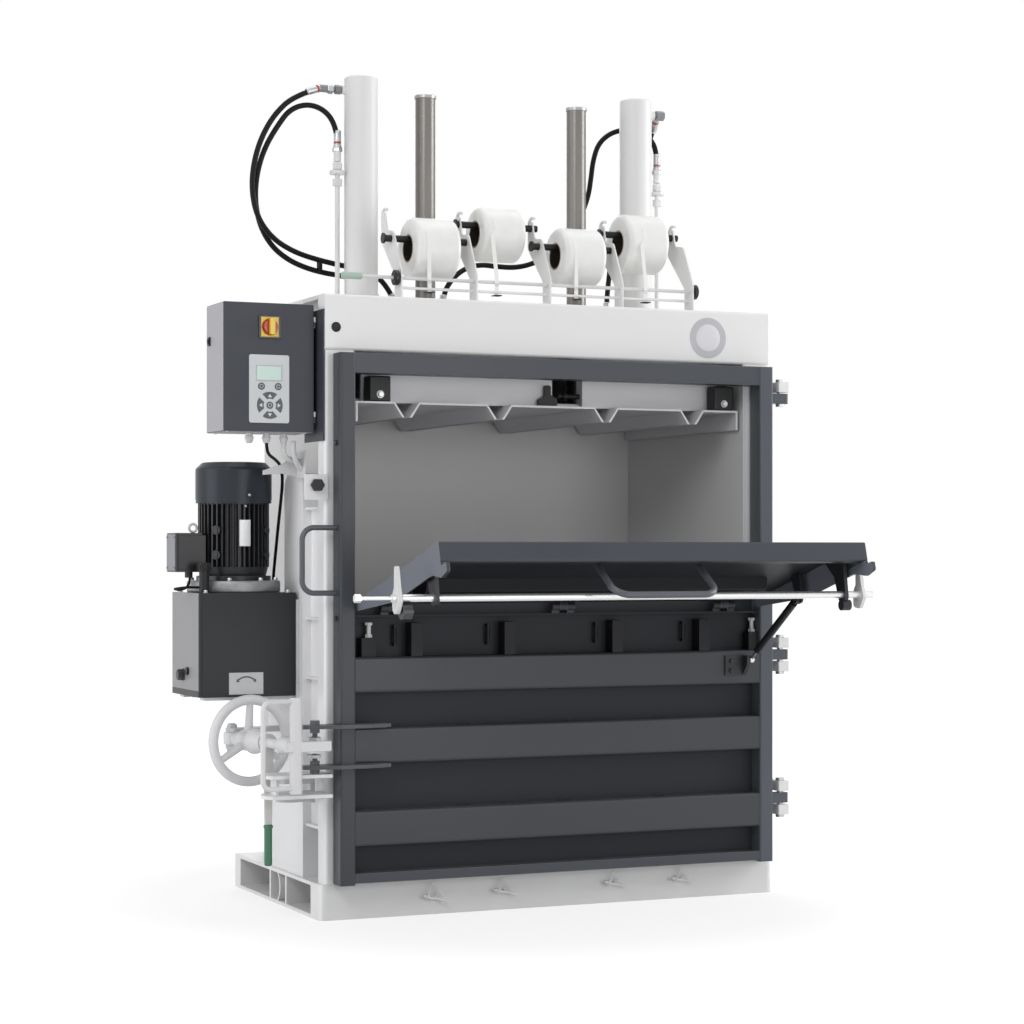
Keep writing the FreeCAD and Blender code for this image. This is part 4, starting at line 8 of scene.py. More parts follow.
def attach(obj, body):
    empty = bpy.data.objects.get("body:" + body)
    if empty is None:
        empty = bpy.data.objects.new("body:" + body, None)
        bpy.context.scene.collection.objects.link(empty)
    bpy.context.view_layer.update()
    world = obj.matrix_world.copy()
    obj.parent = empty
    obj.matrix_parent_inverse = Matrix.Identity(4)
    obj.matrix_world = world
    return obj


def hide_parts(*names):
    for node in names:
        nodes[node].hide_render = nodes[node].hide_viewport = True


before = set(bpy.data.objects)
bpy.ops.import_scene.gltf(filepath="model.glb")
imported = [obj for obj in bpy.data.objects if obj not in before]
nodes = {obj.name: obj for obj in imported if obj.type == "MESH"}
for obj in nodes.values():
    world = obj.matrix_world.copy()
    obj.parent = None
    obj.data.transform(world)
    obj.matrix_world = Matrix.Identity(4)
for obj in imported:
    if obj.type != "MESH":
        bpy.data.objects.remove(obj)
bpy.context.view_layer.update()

RAM_Y = 385.0   # depth of the ram axis behind the frame's front plane, mm


def P(x, y, z):
    """Point of the part's drawing frame, in millimetres, as metres in the row frame."""
    return Vector((x / 1000, (y - RAM_Y) / 1000, z / 1000))


# ---- camera, floor and light --------------------------------------------------------------------------
cam_data = bpy.data.cameras.new("camera")
cam = bpy.data.objects.new("camera", cam_data)
bpy.context.scene.collection.objects.link(cam)
bpy.context.scene.camera = cam
cam.location = (-2.932, -6.693, 1.0156)
cam.rotation_euler = (math.radians(90), 0, math.radians(-23.9))
cam_data.sensor_width = 36
cam_data.lens = 85.25
cam_data.shift_y = 0.039
cam_data.clip_end = 200


def link(obj):
    bpy.context.scene.collection.objects.link(obj)
    return obj


def see_background(tree, plain, shown):
    """Mixes a shader that lights the scene with one that camera, glossy and transmission rays see."""
    paths = tree.nodes.new("ShaderNodeLightPath")
    first = tree.nodes.new("ShaderNodeMath")
    first.operation = "MAXIMUM"
    second = tree.nodes.new("ShaderNodeMath")
    second.operation = "MAXIMUM"
    tree.links.new(paths.outputs["Is Camera Ray"], first.inputs[0])
    tree.links.new(paths.outputs["Is Glossy Ray"], first.inputs[1])
    tree.links.new(first.outputs[0], second.inputs[0])
    tree.links.new(paths.outputs["Is Transmission Ray"], second.inputs[1])
    mix = tree.nodes.new("ShaderNodeMixShader")
    tree.links.new(second.outputs[0], mix.inputs[0])
    tree.links.new(plain.outputs[0], mix.inputs[1])
    tree.links.new(shown.outputs[0], mix.inputs[2])
    return mix


def make_world():
    world = bpy.data.worlds.new("studio")
    bpy.context.scene.world = world
    world.use_nodes = True
    tree = world.node_tree
    tree.nodes.clear()
    plain = tree.nodes.new("ShaderNodeBackground")
    plain.inputs[0].default_value = (0.97, 0.98, 1.0, 1)
    plain.inputs[1].default_value = 0.34
    shown = tree.nodes.new("ShaderNodeBackground")
    shown.inputs[0].default_value = (1, 1, 1, 1)
    shown.inputs[1].default_value = 1.0
    mix = see_background(tree, plain, shown)
    out = tree.nodes.new("ShaderNodeOutputWorld")
    tree.links.new(mix.outputs[0], out.inputs[0])


def area(name, location, target, size, energy):
    """White rectangular light that looks at a point; size in metres, energy in watts."""
    data = bpy.data.lights.new(name, "AREA")
    data.shape = "RECTANGLE"
    data.size, data.size_y = size
    data.energy = energy
    obj = link(bpy.data.objects.new(name, data))
    obj.location = location
    obj.rotation_euler = (Vector(target) - Vector(location)).to_track_quat("-Z", "Y").to_euler()


FLOOR_HALF = 60.0               # metres
SHADE_END, WHITE_FROM = 1.0, 2.6   # metres from the middle: the floor fades to plain white between them


def make_floor():
    """White studio floor: it shows the object's soft shadow near the feet, glows less near the middle as
    painted shade round the object, and runs out into plain white.
    """
    mesh = bpy.data.meshes.new("floor")
    corners = [(x * FLOOR_HALF, y * FLOOR_HALF, 0) for x, y in ((-1, -1), (1, -1), (1, 1), (-1, 1))]
    mesh.from_pydata(corners, [], [(0, 1, 2, 3)])
    obj = link(bpy.data.objects.new("floor", mesh))
    material = bpy.data.materials.new("floor")
    material.use_nodes = True
    tree = material.node_tree
    tree.nodes.clear()
    bounce = tree.nodes.new("ShaderNodeBsdfDiffuse")
    bounce.inputs[0].default_value = (0.74, 0.74, 0.745, 1)
    pale = tree.nodes.new("ShaderNodeBsdfDiffuse")
    pale.inputs[0].default_value = (0.34, 0.34, 0.345, 1)
    where = tree.nodes.new("ShaderNodeTexCoord").outputs["Object"]
    away = tree.nodes.new("ShaderNodeVectorMath")
    away.operation = "LENGTH"
    tree.links.new(where, away.inputs[0])
    # the glow is weaker near the middle: painted shade round the machine, rising to plain white further out
    glow_shade_ramp = tree.nodes.new("ShaderNodeMapRange")
    glow_shade_ramp.inputs["From Min"].default_value = SHADE_END
    glow_shade_ramp.inputs["From Max"].default_value = WHITE_FROM
    glow_shade_ramp.inputs["To Min"].default_value = 0.7
    glow_shade_ramp.inputs["To Max"].default_value = 1.0
    tree.links.new(away.outputs["Value"], glow_shade_ramp.inputs[0])
    glow = tree.nodes.new("ShaderNodeEmission")
    glow.inputs[0].default_value = (1, 1, 1, 1)
    tree.links.new(glow_shade_ramp.outputs[0], glow.inputs[1])
    add = tree.nodes.new("ShaderNodeAddShader")
    tree.links.new(pale.outputs[0], add.inputs[0])
    tree.links.new(glow.outputs[0], add.inputs[1])
    mix = see_background(tree, bounce, add)
    out = tree.nodes.new("ShaderNodeOutputMaterial")
    tree.links.new(mix.outputs[0], out.inputs[0])
    mesh.materials.append(material)


bpy.context.scene.view_settings.view_transform = "Standard"
make_world()
make_floor()
area("key", (-3.4, -3.6, 3.9), (0.1, 0, 1.3), (1.6, 2.2), 58)
area("left", (-4.6, -0.2, 1.7), (-0.6, 0, 1.1), (2.4, 3.0), 52)
area("right", (4.2, -1.6, 2.4), (0, 0, 1.2), (2.0, 3.0), 118)
area("top", (0.2, 0.3, 5.2), (0, 0, 1.2), (3.0, 3.0), 48)
area("front", (0.6, -5.4, 1.3), (0, 0, 0.9), (3.0, 1.8), 52)
area("back", (1.5, 5.4, 3.2), (0, 0, 1.2), (4.0, 3.0), 95)


# ---- materials ----------------------------------------------------------------------------------------
def linear(code):
    """Colour from its screen code to scene values."""
    values = [int(code[i:i + 2], 16) / 255 for i in (1, 3, 5)]
    return tuple(v / 12.92 if v <= 0.04045 else ((v + 0.055) / 1.055) ** 2.4 for v in values) + (1.0,)


def node(tree, kind, **inputs):
    """A shader node with its inputs set by name; an underscore stands for a space."""
    made = tree.nodes.new(kind)
    for key, value in inputs.items():
        made.inputs[key.replace("_", " ")].default_value = value
    return made


def maths(tree, operation, first, second):
    """Maths node; each side is a socket or a number."""
    made = tree.nodes.new("ShaderNodeMath")
    made.operation = operation
    for socket, value in zip(made.inputs, (first, second)):
        if isinstance(value, (int, float)):
            socket.default_value = value
        else:
            tree.links.new(value, socket)
    return made.outputs[0]


def mixed(tree, factor, first, second):
    """Colour mix; each side is a socket or a plain colour."""
    made = tree.nodes.new("ShaderNodeMix")
    made.data_type = "RGBA"
    tree.links.new(factor, made.inputs[0])
    for socket, value in ((made.inputs[6], first), (made.inputs[7], second)):
        if isinstance(value, tuple):
            socket.default_value = value
        else:
            tree.links.new(value, socket)
    return made.outputs[2]


def axis_of(tree, vector, axis):
    split = tree.nodes.new("ShaderNodeSeparateXYZ")
    tree.links.new(vector, split.inputs[0])
    return split.outputs[axis]


def inside(tree, where, low, high):
    """1 between two corners of the drawing frame, 0 outside; None leaves a side open."""
    result = None
    for axis in range(3):
        shift = RAM_Y if axis == 1 else 0.0
        for corner, operation in ((low, "GREATER_THAN"), (high, "LESS_THAN")):
            if corner[axis] is None:
                continue
            test = maths(tree, operation, axis_of(tree, where, axis), (corner[axis] - shift) / 1000)
            result = test if result is None else maths(tree, "MULTIPLY", result, test)
    return result


def surface(name, colour, rough=0.45, metal=0.0, grain=0.02, scale=900.0, mottle=0.03, patches=3.0, edge=0.0,
            rubbed_and_lit_edge=None, rubbed_and_lit_amount=0.0, stretch=None, coat=0.0, specular=0.5, dust=0.0, painted_light_faces=(), regions=()):
    """Paint, plastic or metal: varied tone and gloss, fine relief, edges painted lighter as rubbed paint and
    painted highlight, dust.

    The entries for faces that look one way hold (axis, sign, colour): painted light and shade on those
    faces; regions holds what zone gives.
    edge is the rounding's radius in millimetres.
    """
    material = bpy.data.materials.new(name)
    material.use_nodes = True
    tree = material.node_tree
    shader = tree.nodes["Principled BSDF"]
    shader.inputs["Metallic"].default_value = metal
    shader.inputs["Coat Weight"].default_value = coat
    shader.inputs["Coat Roughness"].default_value = 0.2
    shader.inputs["Specular IOR Level"].default_value = specular
    coordinates = tree.nodes.new("ShaderNodeTexCoord")
    where = coordinates.outputs["Object"]
    tone = linear(colour)
    # faces that look one way take another colour: painted light and shade
    for axis, sign, second in painted_light_faces:
        look = axis_of(tree, coordinates.outputs["Normal"], axis)
        test = maths(tree, "GREATER_THAN", maths(tree, "MULTIPLY", look, sign), 0.6)
        tone = mixed(tree, test, tone, linear(second))
    for low, high, second in regions:
        tone = mixed(tree, inside(tree, where, low, high), tone, linear(second))
    broad = node(tree, "ShaderNodeTexNoise", Scale=patches, Detail=4.0, Roughness=0.55)
    tree.links.new(where, broad.inputs["Vector"])
    amount = node(tree, "ShaderNodeMapRange", From_Min=0.3, From_Max=0.7, To_Min=mottle, To_Max=0.0)
    tree.links.new(broad.outputs[0], amount.inputs[0])
    result = mixed(tree, amount.outputs[0], tone, (0.0, 0.0, 0.0, 1.0))
    if dust > 0:
        up = node(tree, "ShaderNodeMapRange", From_Min=0.6, From_Max=1.0, To_Min=0.0, To_Max=dust)
        tree.links.new(axis_of(tree, coordinates.outputs["Normal"], 2), up.inputs[0])
        result = mixed(tree, up.outputs[0], result, linear("#c6c3bd"))
    normal = None
    if edge > 0:
        rounded = tree.nodes.new("ShaderNodeBevel")
        rounded.samples = 4
        rounded.inputs["Radius"].default_value = edge / 1000
        normal = rounded.outputs[0]
        # edges take a lighter colour: part rubbed paint, part painted highlight where rounded edges catch
        # the light
        if rubbed_and_lit_edge:
            geometry = tree.nodes.new("ShaderNodeNewGeometry")
            same = tree.nodes.new("ShaderNodeVectorMath")
            same.operation = "DOT_PRODUCT"
            tree.links.new(normal, same.inputs[0])
            tree.links.new(geometry.outputs["Normal"], same.inputs[1])
            near = node(tree, "ShaderNodeMapRange", From_Min=0.97, From_Max=0.8, To_Min=0.0, To_Max=rubbed_and_lit_amount)
            tree.links.new(same.outputs["Value"], near.inputs[0])
            result = mixed(tree, near.outputs[0], result, linear(rubbed_and_lit_edge))
    tree.links.new(result, shader.inputs["Base Color"])
    gloss = node(tree, "ShaderNodeMapRange", From_Min=0.3, From_Max=0.7, To_Min=max(rough - 0.05, 0.02),
                 To_Max=min(rough + 0.06, 1.0))
    tree.links.new(broad.outputs[0], gloss.inputs[0])
    tree.links.new(gloss.outputs[0], shader.inputs["Roughness"])
    fine = node(tree, "ShaderNodeTexNoise", Scale=scale, Detail=3.0, Roughness=0.55)
    if stretch:
        mapping = tree.nodes.new("ShaderNodeMapping")
        mapping.inputs["Scale"].default_value = stretch
        tree.links.new(where, mapping.inputs[0])
        tree.links.new(mapping.outputs[0], fine.inputs["Vector"])
    else:
        tree.links.new(where, fine.inputs["Vector"])
    bump = node(tree, "ShaderNodeBump", Strength=min(grain * 10, 1.0), Distance=0.0006)
    tree.links.new(fine.outputs[0], bump.inputs["Height"])
    if normal is not None:
        tree.links.new(normal, bump.inputs["Normal"])
    tree.links.new(bump.outputs[0], shader.inputs["Normal"])
    return material


def zone(colour, x=(None, None), y=(None, None), z=(None, None)):
    """One entry of regions: a colour between limits in drawing millimetres; None leaves a side open."""
    return (x[0], y[0], z[0]), (x[1], y[1], z[1]), colour


# LEFT and FRONT pick the faces that are painted lighter or darker as painted light and shade
LEFT, FRONT = (0, -1), (1, -1)          # axis and sign of the way that a face looks, for facing
# outside this limit the left post is painted darker and the right post lighter: painted shade and painted
# light
POST_SHADE_LIMIT = 633.5                       # colour limit just inside the door frame's posts, along X
LIGHT_GREY = "#b0afb4"
SPRAYED = dict(grain=0.012, scale=520, patches=2.0)
ROUND_WHITE = dict(grain=0.004, scale=420, mottle=0.01, specular=0.4)

white = surface("white_paint", "#e9e9e8", 0.36, grain=0.008, scale=420, mottle=0.02, edge=2.0,
                rubbed_and_lit_edge="#ffffff", rubbed_and_lit_amount=0.2, coat=0.1)
white_round = surface("white_paint_round", "#e4e4e3", 0.4, **ROUND_WHITE)
pipe_paint = surface("pipe_paint", "#e4e4e3", 0.4, **ROUND_WHITE, regions=(zone("#85868a", z=(2347, None)),))
# the base's faces that look left are painted lighter: painted light from the left
white_base = surface("white_base_paint", "#e1e1e0", 0.42, grain=0.01, scale=420, mottle=0.03, edge=2.5,
                     rubbed_and_lit_edge="#f6f6f5", rubbed_and_lit_amount=0.3, dust=0.03, painted_light_faces=((*LEFT, "#f6f6f6"),))
# the columns' faces that look left are painted lighter: painted light from the left
white_column = surface("white_column_paint", "#ebebec", 0.38, grain=0.008, scale=420, mottle=0.03, edge=2.5,
                       rubbed_and_lit_edge="#fafafa", rubbed_and_lit_amount=0.35, painted_light_faces=((*LEFT, "#f5f5f6"),))
platen_paint = surface("platen_paint", "#dadadd", 0.38, grain=0.008, scale=420, mottle=0.03, edge=2.0,
                       rubbed_and_lit_edge="#fafafa", rubbed_and_lit_amount=0.5)
chamber = surface("chamber_paint", "#dcdcdc", 0.42, grain=0.012, scale=420, mottle=0.05, patches=2.5,
                  edge=1.5)
# the left door post is painted darker as painted shade, the right one lighter as painted light from the
# right
anthracite = surface("anthracite_paint", "#474a50", 0.36, specular=0.3, **SPRAYED, mottle=0.08, edge=2.2,
                     rubbed_and_lit_edge="#9a9ca2", rubbed_and_lit_amount=0.55, dust=0.02,
                     regions=(zone("#3f4247", x=(None, -POST_SHADE_LIMIT)), zone("#54585f", x=(POST_SHADE_LIMIT, None))))
rib_paint = surface("rib_paint", "#404348", 0.36, specular=0.3, **SPRAYED, mottle=0.08, edge=2.2,
                    rubbed_and_lit_edge="#a0a2a8", rubbed_and_lit_amount=0.7, dust=0.02)
anthracite_skin = surface("anthracite_sheet", "#303236", 0.42, specular=0.14, **SPRAYED, mottle=0.1,
                          edge=1.2, rubbed_and_lit_edge="#6d7077", rubbed_and_lit_amount=0.3)
# the flap's near-black colour is partly painted shade under the open flap; faces that look left are painted
# light grey as painted light from the left, faces that look to the front keep an anthracite tone
flap_paint = surface("flap_paint", "#25272b", 0.4, specular=0.22, **SPRAYED, mottle=0.08, edge=1.5,
                     rubbed_and_lit_edge="#b4b6ba", rubbed_and_lit_amount=0.7, painted_light_faces=((*LEFT, "#777b84"), (*FRONT, "#464950")))
stiffener_paint = surface("stiffener_paint", "#1f2024", 0.32, specular=0.12, **SPRAYED, mottle=0.06,
                          edge=1.5, rubbed_and_lit_edge="#8a8c91", rubbed_and_lit_amount=0.5)
cabinet_paint = surface("cabinet_paint", "#42454c", 0.45, specular=0.28, grain=0.025, scale=850,
                        mottle=0.05, edge=1.5, rubbed_and_lit_edge="#8b8e95", rubbed_and_lit_amount=0.3,
                        regions=(zone(LIGHT_GREY, x=(None, -975.6)),
                                 zone(LIGHT_GREY, x=(None, -716), z=(None, 1345.6))))
tank_paint = surface("tank_paint", "#2b2d30", 0.38, specular=0.22, grain=0.01, scale=520, mottle=0.06,
                     patches=2.0, edge=1.5, rubbed_and_lit_edge="#5b5d62", rubbed_and_lit_amount=0.3, dust=0.02,
                     regions=(zone("#979799", x=(None, -997.5), z=(628, None)),))
motor_paint = surface("motor_paint", "#1f2023", 0.32, specular=0.35, grain=0.03, scale=500, mottle=0.08,
                      edge=0.8, rubbed_and_lit_edge="#66686d", rubbed_and_lit_amount=0.5,
                      regions=(zone("#c6c7c8", x=(None, -970), y=(250, None), z=(1070.5, None)),))
cowl_paint = surface("cowl_paint", "#363a40", 0.3, specular=0.17, grain=0.008, scale=600, mottle=0.03)
steel = surface("bright_steel", "#d6d6d5", 0.2, 1.0, grain=0.012, scale=900, mottle=0.04,
                stretch=(0.05, 1, 1))
bar_steel = surface("bar_steel", "#e4e4e3", 0.3, 0.75, grain=0.01, scale=900, mottle=0.03,
                    stretch=(0.05, 1, 1))
post_steel = surface("oiled_post", "#74716e", 0.36, 0.75, grain=0.003, scale=300, mottle=0.03, patches=3,
                     regions=(zone("#a4a4a3", z=(2360.5, None)),))
zinc = surface("zinc_plated", "#b4b5b6", 0.36, 1.0, grain=0.02, mottle=0.08, patches=60)
rubber = surface("black_rubber", "#0f1012", 0.5, grain=0.05, scale=1500, mottle=0.1, patches=20,
                 specular=0.16)
black_plastic = surface("black_plastic", "#17181a", 0.4, specular=0.3, grain=0.04, scale=1300, mottle=0.06,
                        edge=0.8)
black_steel = surface("black_steel", "#2a2b2f", 0.36, specular=0.35, grain=0.03, scale=600, mottle=0.08,
                      edge=1.0, rubbed_and_lit_edge="#74767b", rubbed_and_lit_amount=0.5)
lug_steel = surface("lug_steel", "#44464c", 0.36, grain=0.03, scale=600, mottle=0.1, edge=1.2,
                    rubbed_and_lit_edge="#a6a7aa", rubbed_and_lit_amount=0.6)
handle_steel = surface("handle_paint", "#53565d", 0.34, grain=0.02, scale=600, mottle=0.06)
claw_steel = surface("claw_steel", "#1c1d20", 0.4, specular=0.2, grain=0.03, scale=600, mottle=0.08,
                     edge=1.0, rubbed_and_lit_edge="#4b4d52", rubbed_and_lit_amount=0.5,
                     regions=(zone("#dcdcdc", x=(None, -575), z=(779.5, None)),
                              zone("#dcdcdc", x=(600, None), z=(779.5, None))))
key_print = surface("key_print", "#3b4047", 0.34, grain=0.01, scale=1200, mottle=0.03)
mint_glass = surface("display_glass", "#b4d3c6", 0.12, grain=0.004, scale=1200, mottle=0.03, patches=30,
                     coat=0.6)
red_plastic = surface("red_plastic", "#b23b1c", 0.3, grain=0.01, mottle=0.04, patches=40, coat=0.3)
yellow_plastic = surface("yellow_plastic", "#e6c63a", 0.35, grain=0.01, mottle=0.04, patches=40, coat=0.2)
ring_red = surface("ring_red", "#b4402a", 0.4, grain=0.02, mottle=0.06, patches=60)
cast_white = surface("cast_white", "#e3e3e4", 0.38, grain=0.03, scale=260, mottle=0.03, edge=1.5,
                     rubbed_and_lit_edge="#ffffff", rubbed_and_lit_amount=0.2)
hook_cast = surface("hook_cast", "#e6e6e6", 0.38, grain=0.03, scale=260, mottle=0.05, edge=1.2,
                    rubbed_and_lit_edge="#ffffff", rubbed_and_lit_amount=0.3, regions=(zone("#3c3d40", x=(-707, -640)),))
cast_grey = surface("cast_grey", "#c9cacd", 0.36, grain=0.03, scale=260, mottle=0.05, edge=1.5,
                    rubbed_and_lit_edge="#f2f2f2", rubbed_and_lit_amount=0.4)
cast_plate = surface("cast_plate", "#9b9c9e", 0.42, 0.5, grain=0.08, scale=180, mottle=0.25, patches=40,
                     edge=1.2)
plate_film = surface("plate_film", "#d5d6d7", 0.35, 0.3, grain=0.02, scale=700, mottle=0.06, patches=30)
label_film = surface("label_film", "#c4c5c7", 0.4, grain=0.02, scale=700, mottle=0.06, patches=30)
badge_ring = surface("badge_ring", "#bdbdc1", 0.35, grain=0.01, scale=900, mottle=0.04, patches=20)
badge_face = surface("badge_face", "#dcdbde", 0.35, grain=0.01, scale=900, mottle=0.04, patches=20)


def spool_material(index, centre):
    """Wound strap: turns on the rim, rings on the cheeks, the core's hole painted dark as painted shade, and
    its pale core edge.
    """
    material = bpy.data.materials.new("wound_strap_" + str(index))
    material.use_nodes = True
    tree = material.node_tree
    shader = tree.nodes["Principled BSDF"]
    where = tree.nodes.new("ShaderNodeTexCoord").outputs["Object"]
    shift = tree.nodes.new("ShaderNodeVectorMath")
    shift.operation = "SUBTRACT"
    shift.inputs[1].default_value = centre
    tree.links.new(where, shift.inputs[0])
    split = tree.nodes.new("ShaderNodeSeparateXYZ")
    tree.links.new(shift.outputs[0], split.inputs[0])
    flat = tree.nodes.new("ShaderNodeCombineXYZ")
    tree.links.new(split.outputs[1], flat.inputs[1])
    tree.links.new(split.outputs[2], flat.inputs[2])
    length = tree.nodes.new("ShaderNodeVectorMath")
    length.operation = "LENGTH"
    tree.links.new(flat.outputs[0], length.inputs[0])
    radius = length.outputs["Value"]
    noise = node(tree, "ShaderNodeTexNoise", Scale=28.0, Detail=5.0)
    tree.links.new(where, noise.inputs["Vector"])
    tint = tree.nodes.new("ShaderNodeValToRGB")
    tint.color_ramp.elements[0].color = linear("#e6e6e2")
    tint.color_ramp.elements[1].color = linear("#f5f5f3")
    tree.links.new(noise.outputs[0], tint.inputs[0])
    core = maths(tree, "LESS_THAN", radius, 0.0405)
    result = mixed(tree, core, tint.outputs[0], linear("#a8967e"))
    # inside the core the hole is painted dark: painted shade
    hole_shade = maths(tree, "LESS_THAN", radius, 0.0365)
    result = mixed(tree, hole_shade, result, linear("#2c2722"))
    tree.links.new(result, shader.inputs["Base Color"])
    shader.inputs["Roughness"].default_value = 0.4
    shader.inputs["Coat Weight"].default_value = 0.1
    turns = node(tree, "ShaderNodeTexWave", Scale=120.0, Distortion=2.0, Detail=2.0)
    turns.bands_direction = "X"
    tree.links.new(where, turns.inputs["Vector"])
    wave = maths(tree, "SINE", maths(tree, "MULTIPLY", radius, 2600.0), 0.0)
    height = maths(tree, "ADD", turns.outputs[1], wave)
    bump = node(tree, "ShaderNodeBump", Strength=0.22, Distance=0.0006)
    tree.links.new(height, bump.inputs["Height"])
    tree.links.new(bump.outputs[0], shader.inputs["Normal"])
    return material


def paint(obj, material):
    obj.data.materials.clear()
    obj.data.materials.append(material)


FINISH = {
    "base_frame": white_base, "chamber_body": chamber, "front_posts": white_column,
    "side_columns": white_column, "header_panel": white, "top_deck": white, "press_cylinders": white_round,
    "hydraulic_pipes": pipe_paint, "spool_rack": white, "spool_pins": black_plastic,
    "cabinet_case": cabinet_paint, "cabinet_fittings": cast_white, "oil_tank": tank_paint,
    "tank_filler": black_plastic, "motor_body": motor_paint, "fan_cowl": cowl_paint,
    "terminal_box": motor_paint, "frame_hinge_blocks": white, "lock_fork": cast_grey,
    "strap_cleats": white_base, "stop_bolt": black_plastic, "door_frame": anthracite,
    "door_ribs": rib_paint, "door_skin": anthracite_skin, "door_hinge_blocks": anthracite,
    "door_hinge_pins": zinc, "door_handle": handle_steel, "lock_lugs": lug_steel,
    "retaining_claws": claw_steel, "strut_lower_bracket": black_steel, "flap_hinge_seats": black_steel,
    "flap_panel": flap_paint, "flap_stiffener": stiffener_paint, "flap_handle": handle_steel,
    "flap_brackets": black_steel, "latch_bar": bar_steel, "latch_hooks": hook_cast, "gas_strut_rod": steel,
    "gas_strut_barrel": black_plastic, "platen": platen_paint, "platen_guides": black_plastic,
    "piston_rods": steel, "guide_posts": post_steel, "cabinet_door": cabinet_paint, "lock_arm": cast_white,
    "clamp_tube": cast_white, "handwheel": cast_white, "motor_fan": black_plastic,
    "switch_knob": surface("switch_knob", "#e8c63a", 0.3, grain=0.01, mottle=0.04, patches=40, coat=0.3,
                           regions=(zone("#b23b1c", y=(27.5, None)),)),
    "lock_lever": surface("lever", "#3f7355", 0.4, grain=0.02, mottle=0.05, patches=20, edge=1.5,
                          regions=(zone("#d8d8d4", z=(266, None)),)),
    "strap_rod": surface("release_rod", "#a9bdb0", 0.36, grain=0.01, mottle=0.04, patches=30,
                         regions=(zone("#d9d9d9", x=(-572, None)), zone("#1a1b1d", x=(-477, -467)),
                                  zone("#1a1b1d", x=(471, 481)))),
    "cabinet_plates": surface("front_plates", "#cdd0d2", 0.32, grain=0.01, mottle=0.02, coat=0.2, edge=0.8,
                              regions=(zone("#2a2b2d", z=(1580, None)),)),
}
for name, material in FINISH.items():
    paint(nodes[name], material)
# centre and radius of each spool, mm
SPOOLS = ((-345.0, 112.0, 1878.0, 88.0), (-115.0, 168.0, 1937.0, 79.0), (116.0, 112.0, 1878.0, 83.0),
          (348.0, 168.0, 1933.0, 87.0))
for index, (x, y, z, _) in enumerate(SPOOLS, 1):
    paint(nodes["strap_spool_" + str(index)], spool_material(index, P(x, y, z)))


# ---- mesh tools ---------------------------------------------------------------------------------------
def piece(name, body, material, build, bevel=0.0, smooth=True):
    """Mesh piece built in one go, that rides on a body of the frame."""
    mesh = bpy.data.meshes.new(name)
    shape = bmesh.new()
    build(shape)
    bmesh.ops.recalc_face_normals(shape, faces=shape.faces)
    shape.to_mesh(mesh)
    shape.free()
    obj = link(bpy.data.objects.new(name, mesh))
    mesh.materials.append(material)
    if smooth:
        for polygon in mesh.polygons:
            polygon.use_smooth = True
        mesh.set_sharp_from_angle(angle=math.radians(32))
    if bevel > 0:
        modifier = obj.modifiers.new("bevel", "BEVEL")
        modifier.width = bevel / 1000
        modifier.segments = 2
        modifier.limit_method = "ANGLE"
    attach(obj, body)
    return obj


def lathe(shape, start, direction, profile, segments=28, closed=False):
    """Turned form: profile is a list of (distance along the axis, radius) in millimetres."""
    direction = Vector(direction).normalized()
    matrix = Matrix.Translation(start) @ direction.to_track_quat("Z", "Y").to_matrix().to_4x4()
    rows = []
    for along, radius in profile:
        row = []
        for step in range(segments):
            angle = 2 * math.pi * (step + 0.5) / segments
            place = Vector((radius * math.cos(angle), radius * math.sin(angle), along)) / 1000
            row.append(shape.verts.new(matrix @ place))
        rows.append(row)
    pairs = list(zip(rows, rows[1:]))
    if closed:
        pairs.append((rows[-1], rows[0]))
    for low, high in pairs:
        for step in range(segments):
            after = (step + 1) % segments
            shape.faces.new((low[step], low[after], high[after], high[step]))
    if not closed:
        shape.faces.new(rows[0])
        shape.faces.new(rows[-1])


def ring(shape, start, direction, inner, outer, height, segments=32):
    """Flat ring with chamfered outer edges."""
    soft = min(0.8, height / 3)
    lathe(shape, start, direction, [(0, inner), (0, outer - soft), (soft, outer), (height - soft, outer),
                                    (height, outer - soft), (height, inner)], segments, True)


def bolt(shape, start, direction, across, height, washer=0.0):
    """Hexagon head with a chamfered crown, and a washer under it if wanted."""
    start = Vector(start)
    way = Vector(direction).normalized()
    if washer:
        lathe(shape, start, way, [(0, washer / 2), (1.4, washer / 2), (1.8, washer / 2 - 0.6)], 28)
        start = start + way * 0.0018
    radius = across / math.sqrt(3)
    lathe(shape, start, way, [(0, radius), (height * 0.8, radius), (height, radius * 0.86)], 6)


def screw(shape, start, direction, diameter, height=3.0):
    """Domed screw head with a round recess."""
    r = diameter / 2
    lathe(shape, start, direction, [(0, r), (height * 0.35, r), (height * 0.8, r * 0.82), (height, r * 0.5),
                                    (height - 0.1, r * 0.42), (height * 0.45, r * 0.4)], 24)


def slab(shape, low, high):
    """Block between two corners of the drawing frame, in millimetres."""
    made = bmesh.ops.create_cube(shape, size=1.0)["verts"]
    centre = (P(*low) + P(*high)) / 2
    extent = P(*high) - P(*low)
    for vert in made:
        vert.co = centre + Vector((vert.co.x * extent.x, vert.co.y * extent.y, vert.co.z * extent.z))


def slab_piece(name, body, material, low, high, bevel):
    """Piece that is one block."""
    piece(name, body, material, lambda shape: slab(shape, low, high), bevel=bevel)


def plate(shape, outline, thickness):
    """Sheet form: an outline of points in metres, made thick along a vector."""
    low = [shape.verts.new(p) for p in outline]
    high = [shape.verts.new(p + thickness) for p in outline]
    shape.faces.new(low)
    shape.faces.new(list(reversed(high)))
    for step in range(len(low)):
        after = (step + 1) % len(low)
        shape.faces.new((low[step], low[after], high[after], high[step]))


